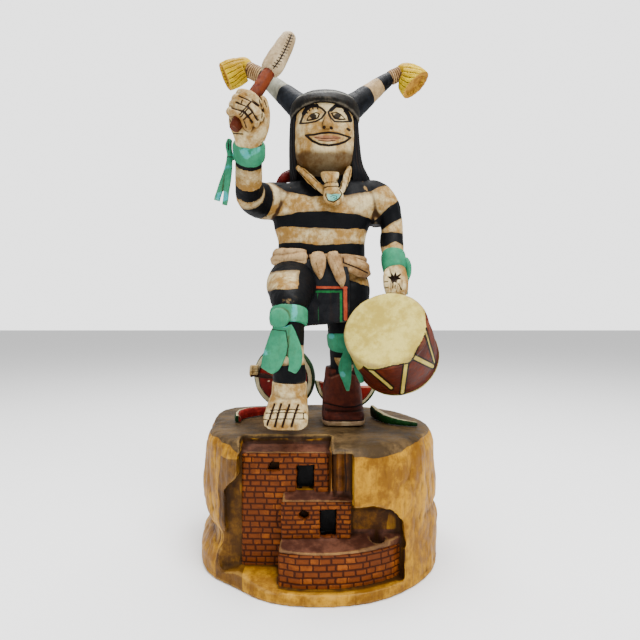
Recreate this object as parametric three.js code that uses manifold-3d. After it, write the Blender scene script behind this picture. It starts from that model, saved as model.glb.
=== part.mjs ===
// Carved and painted kachina doll on a rock base with a small pueblo. Millimetres, +Z up, front faces -Y.
import * as THREE from 'three';
import { mergeVertices } from 'three/addons/utils/BufferGeometryUtils.js';
import Module from 'manifold-3d';

const wasm = await Module();
wasm.setup();

// Sizes of the base
const BASE_RADIUS = 65.1;
const BASE_HEIGHT = 70;
const BASE_SIDES = 46;
const EDGE_ROUND = 8;
const TOWER = { left: -38.2, right: 4.4, face: -44, foot: 8, roof: 62.7, roofBack: 65.7 };
const HOUSE = { left: -18.5, right: 14.7, face: -51, foot: 22, roof: 41.3, roofBack: 44.2 };
const TERRACE = { left: -19.1, right: 38.4, radius: 62, foot: 5.4, roof: 21.3, roofBack: 25 };
const DOOR_DEPTH = 7;

// Sizes of the figure
const HEAD_X = 2.7;
const HEAD_Y = -4;
const CAP_TOP = 256.9;
const BELT_Z = 160;
const KNEE_LEFT = { x: 13.2, y: -8, z: 116.3, r: 9.4 };
const KNEE_RIGHT = { x: -15.2, y: -46, z: 128.6, r: 9.2 };
const GRIP = { from: [-40.2, -57.1, 215.8], to: [-24, -49.1, 246.8] };
const GRIP_RADIUS = 2.7;
const CLEAR = 0.3;

// Sizes of the drum
const DRUM_FRONT = [32.5, -38, 123.8];
const DRUM_AXIS = new THREE.Vector3(0.315, 0.795, -0.52).normalize();
const DRUM_LENGTH = 33.5;
const DRUM_RADIUS = 21.4;
const DRUM_FLARE = 1.2;

// A smooth curve through the numbers of every station
function smooth(stations, steps) {
  const out = [];
  for (let i = 0; i < stations.length - 1; i += 1) {
    const a = stations[Math.max(i - 1, 0)];
    const b = stations[i];
    const c = stations[i + 1];
    const d = stations[Math.min(i + 2, stations.length - 1)];
    for (let s = 0; s < steps; s += 1) {
      const t = s / steps;
      out.push(b.map((_, j) => {
        const p1 = c[j] - a[j];
        const p2 = 2 * a[j] - 5 * b[j] + 4 * c[j] - d[j];
        const p3 = 3 * b[j] - a[j] - 3 * c[j] + d[j];
        return b[j] + 0.5 * (p1 * t + p2 * t * t + p3 * t * t * t);
      }));
    }
  }
  out.push(stations[stations.length - 1]);
  return out;
}

// A closed solid from indexed triangles, turned the right way out
function solid(positions, indices) {
  let volume = 0;
  const at = (i) => new THREE.Vector3().fromArray(positions, 3 * i);
  for (let i = 0; i < indices.length; i += 3) {
    volume += at(indices[i]).dot(at(indices[i + 1]).cross(at(indices[i + 2])));
  }
  if (volume < 0) {
    for (let i = 0; i < indices.length; i += 3) {
      const keep = indices[i + 1];
      indices[i + 1] = indices[i + 2];
      indices[i + 2] = keep;
    }
  }
  const mesh = new wasm.Mesh({
    numProp: 3,
    vertProperties: new Float32Array(positions),
    triVerts: new Uint32Array(indices),
  });
  return new wasm.Manifold(mesh);
}

// A closed solid from a geometry of three
function fromGeometry(geometry) {
  const bare = geometry.clone();
  bare.deleteAttribute('normal');
  bare.deleteAttribute('uv');
  const merged = mergeVertices(bare, 1e-4);
  return solid(Array.from(merged.attributes.position.array), Array.from(merged.index.array));
}

// A skin over rings of points, closed by a fan at each end
function skin(rings) {
  const n = rings[0].length;
  const positions = [];
  const indices = [];
  rings.forEach((ring) => ring.forEach((p) => positions.push(p.x, p.y, p.z)));
  for (let i = 0; i < rings.length - 1; i += 1) {
    for (let j = 0; j < n; j += 1) {
      const a = i * n + j;
      const b = i * n + ((j + 1) % n);
      indices.push(a, b, a + n, b, b + n, a + n);
    }
  }
  [0, rings.length - 1].forEach((row) => {
    const middle = new THREE.Vector3();
    rings[row].forEach((p) => middle.addScaledVector(p, 1 / n));
    const hub = positions.length / 3;
    positions.push(middle.x, middle.y, middle.z);
    for (let j = 0; j < n; j += 1) {
      const a = row * n + j;
      const b = row * n + ((j + 1) % n);
      if (row === 0) indices.push(hub, b, a);
      else indices.push(hub, a, b);
    }
  });
  return solid(positions, indices);
}

// A point on a rounded-square section: power 2 is an ellipse, more is squarer
function sectionPoint(angle, power) {
  const c = Math.cos(angle);
  const s = Math.sin(angle);
  const scale = (Math.abs(c) ** power + Math.abs(s) ** power) ** (-1 / power);
  return [c * scale, s * scale];
}

// Level sections stacked up Z: stations are z, centre x, centre y, half width, half depth
function stack(stations, sides, steps = 2, power = 2, grow = 0) {
  return skin(smooth(stations, steps).map(([z, x, y, a, b]) => {
    const ring = [];
    for (let j = 0; j < sides; j += 1) {
      const [c, s] = sectionPoint((2 * Math.PI * j) / sides, power);
      ring.push(new THREE.Vector3(x + (a + grow) * c, y + (b + grow) * s, z));
    }
    return ring;
  }));
}

// Sections square to a path: stations are x, y, z, half width along the side vector, half depth
function limb(stations, sides, steps = 2, side = [1, 0, 0], power = 2, grow = 0) {
  const path = smooth(stations, steps);
  const reference = new THREE.Vector3(...side);
  return skin(path.map(([x, y, z, a, b], i) => {
    const before = path[Math.max(i - 1, 0)];
    const after = path[Math.min(i + 1, path.length - 1)];
    const along = new THREE.Vector3(after[0] - before[0], after[1] - before[1], after[2] - before[2]);
    along.normalize();
    const across = reference.clone().addScaledVector(along, -reference.dot(along)).normalize();
    const other = along.clone().cross(across);
    const ring = [];
    for (let j = 0; j < sides; j += 1) {
      const [c, s] = sectionPoint((2 * Math.PI * (j + 0.5)) / sides, power);
      const p = new THREE.Vector3(x, y, z);
      p.addScaledVector(across, (a + grow) * c).addScaledVector(other, (b + grow) * s);
      ring.push(p);
    }
    return ring;
  }));
}

// A block between two corners
function block(x0, x1, y0, y1, z0, z1) {
  const shape = new THREE.BoxGeometry(x1 - x0, y1 - y0, z1 - z0);
  shape.translate((x0 + x1) / 2, (y0 + y1) / 2, (z0 + z1) / 2);
  return fromGeometry(shape);
}

// An outline in X and Z pushed along Y
function plateXZ(points, y0, y1) {
  const outline = new THREE.Shape(points.map(([x, z]) => new THREE.Vector2(x, z)));
  const shape = new THREE.ExtrudeGeometry(outline, { depth: y1 - y0, bevelEnabled: false });
  shape.rotateX(Math.PI / 2);
  shape.translate(0, y1, 0);
  return fromGeometry(shape);
}

// An outline in Y and Z pushed along X
function plateYZ(points, x0, x1) {
  const outline = new THREE.Shape(points.map(([y, z]) => new THREE.Vector2(y, z)));
  const shape = new THREE.ExtrudeGeometry(outline, { depth: x1 - x0, bevelEnabled: false });
  shape.rotateY(Math.PI / 2);
  shape.rotateX(Math.PI / 2);
  shape.translate(x0, 0, 0);
  return fromGeometry(shape);
}

// A round bar between two points
function bar(from, to, r0, r1, sides, side = [0, 1, 0]) {
  return limb([[...from, r0, r0], [...to, r1, r1]], sides, 1, side);
}

const join = (pieces) => pieces.reduce((all, piece) => all.add(piece));
const bump = (value, middle, width) => Math.exp(-(((value - middle) / width) ** 2));

// BASE: rock outline by angle and height
function rockRadius(angle, z) {
  const c = Math.cos(angle);
  const s = Math.sin(angle);
  let r = BASE_RADIUS - 1.8 * s;
  const left = Math.PI - Math.abs(angle);
  r += 9.6 * bump(angle, 2.5, 0.4);
  r -= 7.4 * bump(z, 20.6, 5.5) * bump(left, 0, 0.75);
  r += 1.8 * bump(z, 5, 8) * bump(left, 0, 0.6);
  r += 0.9 * bump(z, 0, 12) * bump(angle, -1.57, 0.3) - 2.4 * bump(z, 3, 14) * bump(angle, -2.23, 0.2);
  r -= 2.4 * bump(z, 30, 3.4) * Math.exp(-((angle / 0.5) ** 2));
  r -= 2.2 * bump(z, 26, 5) * Math.exp(-(((angle - 1.9) / 0.6) ** 2));
  r += 0.5 * Math.sin(5 * angle + z / 9) + 0.35 * Math.sin(9 * angle - z / 13);
  r += 0.7 * bump(z, 4, 9) - 0.8 * bump(z, 62, 12) * Math.abs(c);
  const high = Math.max(0, (z - (BASE_HEIGHT - 2 * EDGE_ROUND)) / (2 * EDGE_ROUND));
  const edge = EDGE_ROUND + 3.4 * bump(angle, 0.1, 0.4) - 7 * bump(angle, 2.55, 0.3);
  r -= edge * (1 - Math.sqrt(Math.max(0, 1 - high ** 4)));
  const low = Math.max(0, (2 - z) / 2);
  return r - 0.6 * low * low;
}

function makeBase() {
  const levels = [0, 1.2, 3, 9, 15, 19, 22.4, 26, 30, 34, 42, 54, 61, 65.5, 68.2, 69.5, BASE_HEIGHT];
  const rings = levels.map((z) => {
    const ring = [];
    for (let j = 0; j < BASE_SIDES; j += 1) {
      const angle = (2 * Math.PI * j) / BASE_SIDES - Math.PI;
      const r = rockRadius(angle, z);
      ring.push(new THREE.Vector3(r * Math.cos(angle), r * Math.sin(angle), z));
    }
    return ring;
  });
  let base = skin(rings);

  // The hollow in the front of the rock
  const aboveTower = [[-37.5, 64], [4, 64], [6.5, 75], [-40, 75]];
  const overhang = [[14, 20], [14, 42.5], [24, 42.8], [33, 39.6], [38.4, 33], [40.4, 20]];
  const hollows = [
    plateXZ(aboveTower, -80, -35.5),
    block(-38.8, 5, -80, -40, 8, 64.5),
    block(4, HOUSE.right + 0.6, -80, -47, 40, 67),
    block(6.2, 8.2, -80, -45.2, 42, 66),
    block(11, 12.6, -80, -45.4, 44, 65),
    plateYZ([[-80, 20], [-47, 20], [-46, 36], [-52, 41], [-80, 47]], 14, 42).intersect(plateXZ(overhang, -90, -40)),
    block(HOUSE.left - 0.5, HOUSE.right + 0.6, -80, -47, HOUSE.foot, 46),
    block(-20, TERRACE.right + 0.8, -80, -49, TERRACE.foot, 26),
    plateYZ([[-80, 1.5], [-63, 4.8], [-49, 9.5], [-43, 9.5], [-43, 24], [-80, 24]], -38.5, -18),
  ];
  const slope = [[-37.8, 55], [-46, 45.5], [-45, 26], [-53, 18], [-47, 5.5], [-36, 9]];
  hollows.push(plateXZ(slope, -80, -43));
  base = base.subtract(join(hollows));

  // The three houses
  const tower = plateYZ([
    [TOWER.face, TOWER.foot - 3], [TOWER.face, TOWER.roof], [-34.5, TOWER.roofBack],
    [-28, TOWER.roofBack], [-28, TOWER.foot - 3],
  ], TOWER.left, TOWER.right);
  const house = plateYZ([
    [HOUSE.face, HOUSE.foot - 4], [HOUSE.face, HOUSE.roof], [-43.5, HOUSE.roofBack],
    [-38, HOUSE.roofBack], [-38, HOUSE.foot - 4],
  ], HOUSE.left, HOUSE.right);
  const wall = [];
  for (let i = 0; i <= 14; i += 1) {
    const x = TERRACE.left + ((TERRACE.right - TERRACE.left) * i) / 14;
    wall.push([x, -Math.sqrt(TERRACE.radius ** 2 - x * x)]);
  }
  wall.push([TERRACE.right, -38], [TERRACE.left, -38]);
  const outline = new THREE.Shape(wall.map(([x, y]) => new THREE.Vector2(x, y)));
  const terraceShape = new THREE.ExtrudeGeometry(outline, { depth: 22, bevelEnabled: false });
  terraceShape.translate(0, 0, 3.5);
  const aboveRoof = plateYZ([
    [-70, 20], [-62, TERRACE.roof], [-44, TERRACE.roofBack], [-44, 40], [-70, 40],
  ], -60, 60);
  const terrace = fromGeometry(terraceShape).subtract(aboveRoof);
  base = join([base, tower, house, terrace]);

  // Doors, windows and the roof hatch
  const holes = [
    block(-25.9, -19.7, TOWER.face - 4, TOWER.face + 4.5, 53.5, 58.4),
    block(-12.1, -2.3, TOWER.face - 4, TOWER.face + DOOR_DEPTH, HOUSE.roofBack + 0.3, 57),
    bar([-7.7, HOUSE.face - 4, 35], [-7.7, HOUSE.face + 4.5, 35], 2.8, 2.8, 10, [1, 0, 0]),
    block(-0.7, 8.4, HOUSE.face - 4, HOUSE.face + DOOR_DEPTH, 24.4, 37.8),
    bar([27.4, -49.6, 30], [27.4, -49.6, 18.5], 3.6, 3.4, 12, [1, 0, 0]),
  ];
  return base.subtract(join(holes));
}

// FIGURE: body, neck and head
function makeTorso() {
  return stack([
    [143, 0.5, 0, 18, 12], [148, 0.3, 0, 24, 15], [154, 0.4, 0, 25.6, 16.6], [162, 0.8, 0, 25.2, 17],
    [172, 0.9, 0, 25.1, 17.2], [180, 0.9, 0, 27.1, 17.4], [187, 1.8, 0, 29.2, 17.2],
    [194, 3.6, 0.5, 31.4, 16.2], [200, 5, 1, 32, 14.2], [205, 5.4, 1.5, 26.5, 12],
    [209, 4.5, 2, 17, 10.6], [214, 3, 0, 11, 9.6], [221, 3, -1, 10, 9],
  ], 18, 1, 2.3);
}

const HEAD_LEVELS = [
  [207.6, HEAD_X, -0.5, 9, 8], [210, HEAD_X, -2.6, 11.8, 11.2], [213, HEAD_X, -3.8, 14.4, 14],
  [217, HEAD_X - 0.2, HEAD_Y, 16.2, 15.6], [223, HEAD_X - 0.2, HEAD_Y, 16.9, 16.1],
  [230, HEAD_X - 0.2, HEAD_Y, 17, 16.1], [238, HEAD_X - 0.2, HEAD_Y, 16.8, 15.8], [245, HEAD_X, HEAD_Y, 16, 15],
];
const HAIR_LEVELS = [
  [178, 3, 18.5, 12, 3.5], [184, 3.4, 16.5, 16.5, 6], [192, 4.4, 12.5, 20, 9.5], [199, 6.4, 7.6, 23, 12.2],
  [204, 6.6, 4.6, 23.8, 14.4], [209, 5.8, 2.8, 23.2, 15.8], [216, 3.6, 2, 21.6, 16.6], [225, 2.7, 1.6, 20.8, 17.2],
  [238, 2.4, 1.2, 20, 17.4], [246, 2.6, 0, 19.4, 17.4],
];

function makeCap(grow) {
  const rings = smooth([
    [240.8, 17.6, 16.6], [241.2, 19.6, 18.8], [244.5, 20.1, 19.5], [248, 19.5, 18.8], [251.6, 17, 16.2],
    [254.3, 12.8, 12], [256.2, 7.4, 7], [CAP_TOP, 2, 2],
  ], 1);
  return skin(rings.map(([z, a, b], i) => {
    const ring = [];
    for (let j = 0; j < 18; j += 1) {
      const angle = (2 * Math.PI * j) / 18;
      const front = Math.max(0, -Math.sin(angle)) ** 3;
      const lift = i < 3 ? 3.8 * front + 0.8 * Math.max(0, -Math.cos(angle)) - 0.8 : 0;
      const [c, s] = sectionPoint(angle, 2.15);
      const height = z + lift + (i === rings.length - 1 ? grow : 0) - (i < 2 ? grow : 0);
      ring.push(new THREE.Vector3(HEAD_X + (a + grow) * c, -2 + (b + grow) * s, height));
    }
    return ring;
  }));
}

function makeHead(grow = 0) {
  const face = stack(HEAD_LEVELS, 18, 1, 2.35, grow);
  const parting = block(-13, 17.9, -40, -2, 186, 242);
  const hair = stack(HAIR_LEVELS, 18, 1, 2.2, grow).subtract(parting);
  return join([face, hair, makeCap(grow)]);
}

function makeFace() {
  const nose = limb([
    [3.9, -19.4, 239, 1, 0.8], [3.9, -20.4, 235, 1.6, 1.5], [3.9, -21.4, 232.4, 2.5, 2.1],
    [3.9, -20.4, 230.4, 2.2, 1.4],
  ], 6, 1);
  const lips = [];
  for (let i = 0; i <= 12; i += 1) {
    const t = i / 12;
    lips.push([-7.4 + 23.6 * t, 226.4 - 0.9 * t + 2.1 * Math.sin(Math.PI * t) ** 0.8]);
  }
  for (let i = 11; i >= 1; i -= 1) {
    const t = i / 12;
    lips.push([-7.4 + 23.6 * t, 226.4 - 0.9 * t - 5.2 * Math.sin(Math.PI * t) ** 0.9]);
  }
  const mouth = plateXZ(lips, -24, -10).intersect(stack(HEAD_LEVELS, 18, 1, 2.35, 0.45));
  return join([nose, mouth]);
}

// Scarf behind the neck, neckerchief, slide and pendant
function makeScarf() {
  const back = limb([
    [-26.4, 5.2, 203.4, 1.2, 1.4], [-21.5, 6, 210.5, 2.4, 3], [-14, 12, 214.5, 3.4, 4.6],
    [3, 17.6, 214.5, 3.8, 5], [19, 12.5, 214.3, 3.4, 4.6], [25.2, 7, 211.4, 2.4, 3],
    [29.5, 6, 206, 1.2, 1.4],
  ], 6, 1, [0, 1, 0]);
  const left = limb([
    [-12.6, -9.5, 212.6, 1.4, 1.4], [-9, -13.4, 208.6, 2.2, 1.7], [-4, -16.4, 202.8, 2.4, 1.8],
    [1.8, -17.6, 197.6, 2, 1.7], [4, -17.4, 195.6, 1.2, 1.4],
  ], 6, 1, [1, 0, 1]);
  const right = limb([
    [16.4, -9.5, 212.4, 1.4, 1.4], [15.4, -13.4, 208.4, 2.2, 1.7], [13.6, -16.2, 202.6, 2.2, 1.8],
    [11.6, -17.4, 197.4, 1.8, 1.6], [10.6, -17.2, 195.6, 1.2, 1.4],
  ], 6, 1, [1, 0, 0]);
  const slide = limb([
    [5.3, -19.6, 207, 4.9, 1.8], [5.4, -20, 205.4, 5, 2.2], [5.7, -20, 201, 3.2, 2.6],
    [5.9, -20, 199.4, 4.2, 3], [6.2, -20, 196.8, 4.3, 3.1], [6.4, -20, 195, 3.6, 2.8],
  ], 6, 1);
  const pendant = limb([
    [7.1, -21.7, 194, 4.4, 4.1], [7.1, -20.9, 194, 5.3, 5], [7.1, -18, 194, 5.3, 5],
    [7.1, -15.6, 194, 4.6, 4.4],
  ], 10, 1);
  return join([back, left, right, slide, pendant]);
}

// Raised arm with its fist, cuff and hanging ties
function makeRaisedArm() {
  const arm = limb([
    [-18, 0, 195, 11, 11], [-26, -2, 195.4, 10.6, 10.8], [-33, -8, 194.5, 9.9, 10.2],
    [-37.2, -16, 195.2, 8.4, 8.9], [-37.4, -25, 199.4, 7.3, 7.2], [-36.2, -34, 204.6, 7, 6.7],
    [-35, -42, 210.4, 6.6, 6.3], [-34.5, -46.5, 215, 6.9, 6.6], [-34, -49, 219.5, 9.2, 7.4],
    [-33.9, -50, 224, 9.6, 7], [-33.8, -50, 228.5, 8.2, 6], [-34.4, -50, 232.5, 5.4, 4.2],
    [-35, -50, 234.2, 2.6, 2.2],
  ], 10, 1, [1, 0, 0], 2.1);
  const cuff = limb([
    [-35.4, -39, 207.8, 7, 6.8], [-35.3, -39.6, 208.3, 8, 7.8], [-34.7, -44.2, 213.4, 8, 7.7],
    [-34.6, -45, 214.4, 7.2, 7],
  ], 10, 1);
  const finger = (knuckle, bend, tip) => {
    const wide = 1.75;
    return limb([
      [knuckle[0] - 1, knuckle[1] + 3, knuckle[2] + 0.4, 1.3, 1.6], [...knuckle, wide, 2.4], [...bend, wide, 2.5],
      [...tip, wide, 2.3], [tip[0] + 0.4, tip[1] + 3.4, tip[2] - 0.8, 1.2, 1.4],
    ], 6, 1, [0.5, 0, 0.87], 2.8);
  };
  const fingers = [
    finger([-37, -54, 233.6], [-30.9, -59, 230], [-28.6, -58, 227.4]),
    finger([-39, -54, 231.2], [-32.4, -59.4, 226.9], [-28.6, -57.6, 222.2]),
    finger([-40.3, -54, 228.4], [-34, -59.5, 224.2], [-30.5, -57.6, 219.6]),
    finger([-41.6, -54, 225.2], [-35.7, -59.2, 221.6], [-33.6, -57.8, 217.8]),
  ];
  const thumb = limb([
    [-28.6, -47, 214.5, 2, 3], [-26.8, -50, 219.4, 2.6, 3.2], [-26.1, -53, 226, 2.6, 3],
    [-26.7, -54, 230.4, 2.1, 2.5], [-27, -54, 232.4, 1.1, 1.4],
  ], 6, 1);
  const loop = limb([
    [-44.6, -40.4, 217.2, 1.4, 2], [-45.2, -40.6, 214, 1.8, 2.5], [-44.7, -40.4, 209.6, 1.6, 2.3],
    [-44.8, -40, 207.4, 1.8, 2.4],
  ], 6, 1);
  const tieOuter = limb([
    [-44.6, -40.2, 209, 1.4, 2], [-46, -39.6, 203, 1.7, 1.6], [-49, -38.6, 195, 1.8, 1.4],
    [-51.6, -38, 187.2, 1.7, 1.2],
  ], 6, 1);
  const tieInner = limb([
    [-44.6, -41.2, 209, 1.4, 1.6], [-45, -41, 202, 1.8, 1.5], [-46.2, -40.4, 193, 1.7, 1.4],
    [-47.5, -39.6, 184.6, 1.5, 1.2],
  ], 6, 1);
  const knuckle = bar([-44.9, -40.6, 208], [-40.6, -40.6, 208.6], 1.5, 1.5, 8);
  const fistCore = bar([-36.8, -55.6, 230.6], [-29.8, -56.4, 219.8], 5.2, 5.2, 8);
  return join([arm, cuff, ...fingers, fistCore, thumb, loop, tieOuter, tieInner, knuckle]);
}

// Lowered arm with its hand, cuff and tie
function makeLoweredArm() {
  const arm = limb([
    [25, 0, 198, 10, 10], [31, 0, 197.6, 10.2, 10], [37, -0.6, 192.5, 8.8, 9.2], [39.8, -1.4, 186, 7.2, 7.8],
    [40.9, -2.6, 180, 6.4, 6.8], [40.5, -4.6, 173.6, 6.7, 6.7], [40.3, -7.6, 167.4, 6.6, 6.5],
    [40.7, -11, 161, 5.7, 5.9], [41, -13.8, 155.4, 5.8, 5.6], [41.2, -15.8, 149.6, 6.6, 5.6],
    [41.2, -17.6, 144, 6.4, 5], [40.9, -18.6, 140.6, 5, 3.8],
  ], 10, 1);
  const web = limb([[28, 0, 192, 6, 8], [32.4, -0.8, 185.6, 5, 7], [32.4, -1.2, 181.8, 3.6, 5]], 6, 1);
  const cuff = limb([
    [40.6, -9, 164.4, 6.3, 6.5], [40.6, -9.6, 163.4, 6.9, 7], [41, -13.2, 155.6, 6.8, 6.8],
    [41.1, -13.8, 154.4, 6.4, 6.4],
  ], 10, 1);
  const thumb = limb([
    [36.6, -17, 154.6, 1.6, 1.8], [35.9, -19.6, 151, 2.1, 2.3], [35.9, -21, 146.4, 2.1, 2.2],
    [36.6, -21.4, 142, 1.7, 1.8],
  ], 6, 1);
  const fingers = [0, 1, 2].map((i) => limb([
    [44.9 - 2.6 * i, -19.6 - 0.5 * i, 149, 1.5, 1.6], [44.6 - 2.6 * i, -21 - 0.5 * i, 145.6, 1.6, 1.7],
    [43.6 - 2.4 * i, -21.2 - 0.4 * i, 141.6, 1.4, 1.5],
  ], 6, 1));
  const tie = limb([
    [46.8, -12.6, 161.6, 1.4, 2], [48, -13.6, 158.6, 2, 2.6], [48.3, -14.4, 153.4, 1.8, 2.4],
    [47.4, -14.8, 148.6, 1.1, 2], [47.2, -15, 141.4, 0.9, 1.7],
  ], 6, 1);
  const hollow = limb([
    [40.6, -26, 150.6, 2.4, 2.2], [40.6, -19.5, 150.6, 2.2, 2],
  ], 6, 1);
  return join([arm, web, cuff, thumb, ...fingers, tie]).subtract(hollow);
}

// Belt with two pointed ends, and the breechcloth front and back
function makeBelt() {
  const ring = stack([
    [BELT_Z - 7.8, 0.4, 0, 25.2, 16.8], [BELT_Z - 6.6, 0.5, 0, 27.2, 18.6], [BELT_Z - 3, 0.5, 0, 27.7, 19],
    [BELT_Z, 0.4, 0, 26.9, 18.6], [BELT_Z + 3.6, 0.3, 0, 27.3, 18.8], [BELT_Z + 6, 0.3, 0, 26.2, 18],
    [BELT_Z + 7.2, 0.6, 0, 24.9, 16.8],
  ], 16, 1, 2.3);
  const rollRight = limb([
    [-26.2, -3, 163.6, 1.6, 3.2], [-24.6, -9.4, 163, 2.4, 5.2], [-19, -15.6, 162.2, 2.6, 5.2],
    [-10, -18.4, 161.6, 2.4, 4.8], [-6.6, -18.8, 161.6, 1.6, 4],
  ], 6, 1, [0, 1, 0], 2.4);
  const rollLeft = limb([
    [27.4, -3, 155.6, 1.6, 3], [25.6, -9, 155.4, 2.4, 4.8], [20, -15, 156.4, 2.6, 5],
    [13.6, -18.6, 158.6, 2.4, 4.4], [9.6, -19.6, 160.4, 1.6, 3.4],
  ], 6, 1, [0, 1, 0], 2.4);
  const endRight = limb([
    [-1.2, -20.2, 164, 3.2, 1.5], [-1, -21.6, 160.6, 4.3, 1.8], [-0.4, -22.2, 155, 3.5, 1.7],
    [0, -22, 151, 1.8, 1.4], [0, -21.8, 149.2, 0.6, 0.8],
  ], 6, 1);
  const endLeft = limb([
    [6.6, -20.2, 164, 3, 1.5], [7.3, -21.8, 160.6, 3.7, 1.8], [9.3, -22.8, 154.6, 3.4, 1.8],
    [11.1, -23, 149.2, 2.8, 1.6], [11.8, -22.6, 144.8, 0.7, 0.8],
  ], 6, 1);
  const apron = limb([
    [2.4, -17, 160, 12.4, 2.4], [2.4, -19.4, 152, 13.4, 2.4], [2.6, -20.6, 142, 13.6, 2.2],
    [3.2, -21, 132, 12.6, 2], [3.9, -21, 125.3, 11.6, 1.5],
  ], 8, 1, [1, 0, 0], 4);
  const backFlap = limb([
    [1, 16, 158, 12, 2.6], [1, 18, 148, 14, 2.4], [1, 17.8, 138, 14.4, 2.2], [1, 17, 128.4, 14, 1.6],
  ], 8, 1, [1, 0, 0], 4);
  return join([ring, rollRight, rollLeft, endRight, endLeft, apron, backFlap]);
}

// Raised leg with its knee band, streamers and bare foot
function makeRaisedLeg() {
  const { x, y, z, r } = KNEE_RIGHT;
  const thigh = limb([
    [-11, 4, 150, 12.4, 12.4], [-14, -6, 150.2, 14, 12.9], [-15.1, -20, 146.2, 13.8, 11.9],
    [-15, -32, 140.4, 11.2, 10], [-15.2, -40, 136.6, 9.4, 8.4], [-15.2, -46, 133.6, 7, 6.6],
    [-15.2, -49.6, 132, 3.2, 3.4],
  ], 10, 1);
  const shin = limb([
    [-15.2, y, 134, 6.6, 6], [-15.2, y, 128, 7.9, 7.8], [-15.2, y + 0.8, 119, 7.6, 7.8],
    [-15, y + 2.4, 110, 7.4, 7.4], [-15, y + 3.6, 103, 8.1, 7.4], [-15, y + 4.6, 97.6, 8.3, 7.8],
    [-15.2, y + 5, 91, 8.8, 9], [-15.6, y + 5.4, 84, 8.6, 9.4],
  ], 10, 1);
  const foot = limb([
    [-14.8, -24.5, 83, 4, 3.6], [-14.8, -27, 84, 7, 6.4], [-15, -33, 86, 8.6, 8.2],
    [-15.4, -40, 86.6, 9.4, 8.8], [-15.9, -47, 83.6, 10.2, 7], [-16.3, -53, 79.8, 10.6, 4.8],
    [-16.4, -55.4, 79, 9.6, 3.4],
  ], 10, 1, [1, 0, 0], 2.5);
  const sole = block(-40, 10, -70, -10, 60, 76);
  const slots = [-23.1, -19.2, -15.3, -11.1].map((toe, i) => limb([
    [toe + 1.8 - 0.1 * i, -48.6, 90.4, 0.3, 0.9], [toe + 0.4, -54.2, 85.4, 0.3, 1.3],
    [toe - 0.6, -57, 80, 0.3, 1.3], [toe - 1, -57.4, 73.6, 0.3, 1.3],
  ], 4, 1));
  const band = limb([
    [x, y + 1, z + 4.6, r - 0.8, r - 0.8], [x, y + 0.8, z + 3.8, r + 0.1, r + 0.1],
    [x, y - 0.2, z - 3, r - 0.1, r], [x, y - 0.4, z - 3.8, r - 1, r - 0.9],
  ], 10, 1);
  const knot = limb([
    [-19.2, -57, 128.6, 3.6, 3.6], [-19.2, -56.2, 128.6, 4.6, 4.6], [-19.2, -52, 128.6, 4.9, 4.9],
    [-19.2, -47, 128.6, 3.6, 3.6],
  ], 10, 1);
  const streamerWide = limb([
    [-17.8, -54.6, 125.2, 3.4, 1.6], [-19, -54.4, 121.8, 4.3, 1.6], [-20.6, -53, 114, 5.4, 1.5],
    [-23.4, -51.4, 106.6, 5, 1.4], [-25.4, -51, 103.4, 3.4, 1.2],
  ], 6, 1, [1, 0, 0], 2.4);
  const streamerNarrow = limb([
    [-14.8, -53.6, 125.4, 1.6, 1.4], [-13.4, -53.6, 121.4, 2.4, 1.5], [-11.8, -52, 112, 3.6, 1.5],
    [-12, -51, 106.4, 3.2, 1.4], [-13.4, -50.4, 102.8, 2.2, 1.2],
  ], 6, 1, [1, 0, 0], 2.4);
  const leg = join([thigh, shin, foot.subtract(sole)]).subtract(join(slots));
  return join([leg, band, knot, streamerWide, streamerNarrow]);
}

// Standing leg with its knee band, streamers and moccasin
function makeStandingLeg() {
  const { x, y, z, r } = KNEE_LEFT;
  const leg = limb([
    [12, 3, 153, 13, 12], [13.8, 0, 147, 14.6, 12.8], [14.4, -3, 137, 13.6, 11.8], [13.8, -6, 127, 10.4, 10.2],
    [13.2, -7.6, 118.6, 8.8, 9], [13, -6, 110, 7.8, 8.2], [12.6, -3, 102, 7, 7.4], [12.6, -1, 90, 8, 8.4],
  ], 6, 1);
  const band = limb([
    [x, y + 0.2, z + 4.2, r - 0.6, r - 0.4], [x, y + 0.2, z + 3.3, r, r + 0.2],
    [x, y + 0.6, z - 3.3, r - 0.4, r - 0.2], [x, y + 0.8, z - 4, r - 1, r - 0.8],
  ], 6, 1);
  const knot = limb([
    [18, -17.4, 115.4, 2.2, 2.2], [18, -16.4, 115.4, 3.4, 3.4], [18, -12, 115.4, 3.4, 3.4],
  ], 8, 1);
  const streamerOne = limb([
    [16.6, -15.6, 113.4, 2, 1.2], [14.6, -15.8, 108.6, 2.8, 1.3], [13.7, -15.8, 100.8, 3.9, 1.3],
    [14.6, -15.4, 94.4, 2.6, 1.2], [15.2, -15, 88.8, 1, 0.9],
  ], 6, 1);
  const streamerTwo = limb([
    [18.6, -14.8, 113, 2, 1.2], [19.8, -14.6, 107, 2.8, 1.3], [21.8, -14.2, 98.6, 2.6, 1.2],
    [23, -14, 93.2, 1.3, 1],
  ], 6, 1);
  const upper = stack([
    [69.2, 13, 0, 11.4, 15.5], [70.4, 13, 0, 12, 16], [80, 12.9, 1.6, 11.8, 14.6], [90, 12.6, 2, 11, 12.4],
    [97, 12.2, 0.4, 9.6, 10.2], [101.4, 11.9, -0.6, 8.9, 9.4],
  ], 16, 1, 2.5);
  const toe = stack([
    [70.2, 13, -7, 11.8, 11.8], [73, 13, -7, 12.2, 12.2], [73.6, 13, -6.4, 11.6, 11.4],
    [75, 13, -6.2, 11.8, 11.4], [77.6, 13, -5.6, 11, 10],
  ], 16, 1, 3.6);
  const cuffNotch = plateXZ([[-3, 98], [3.6, 101], [14, 95.4], [21, 99.6], [28, 98], [28, 110], [-3, 110]], -30, -6.5);
  return join([upper.subtract(cuffNotch), toe, leg, band, knot, streamerOne, streamerTwo]);
}

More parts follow.
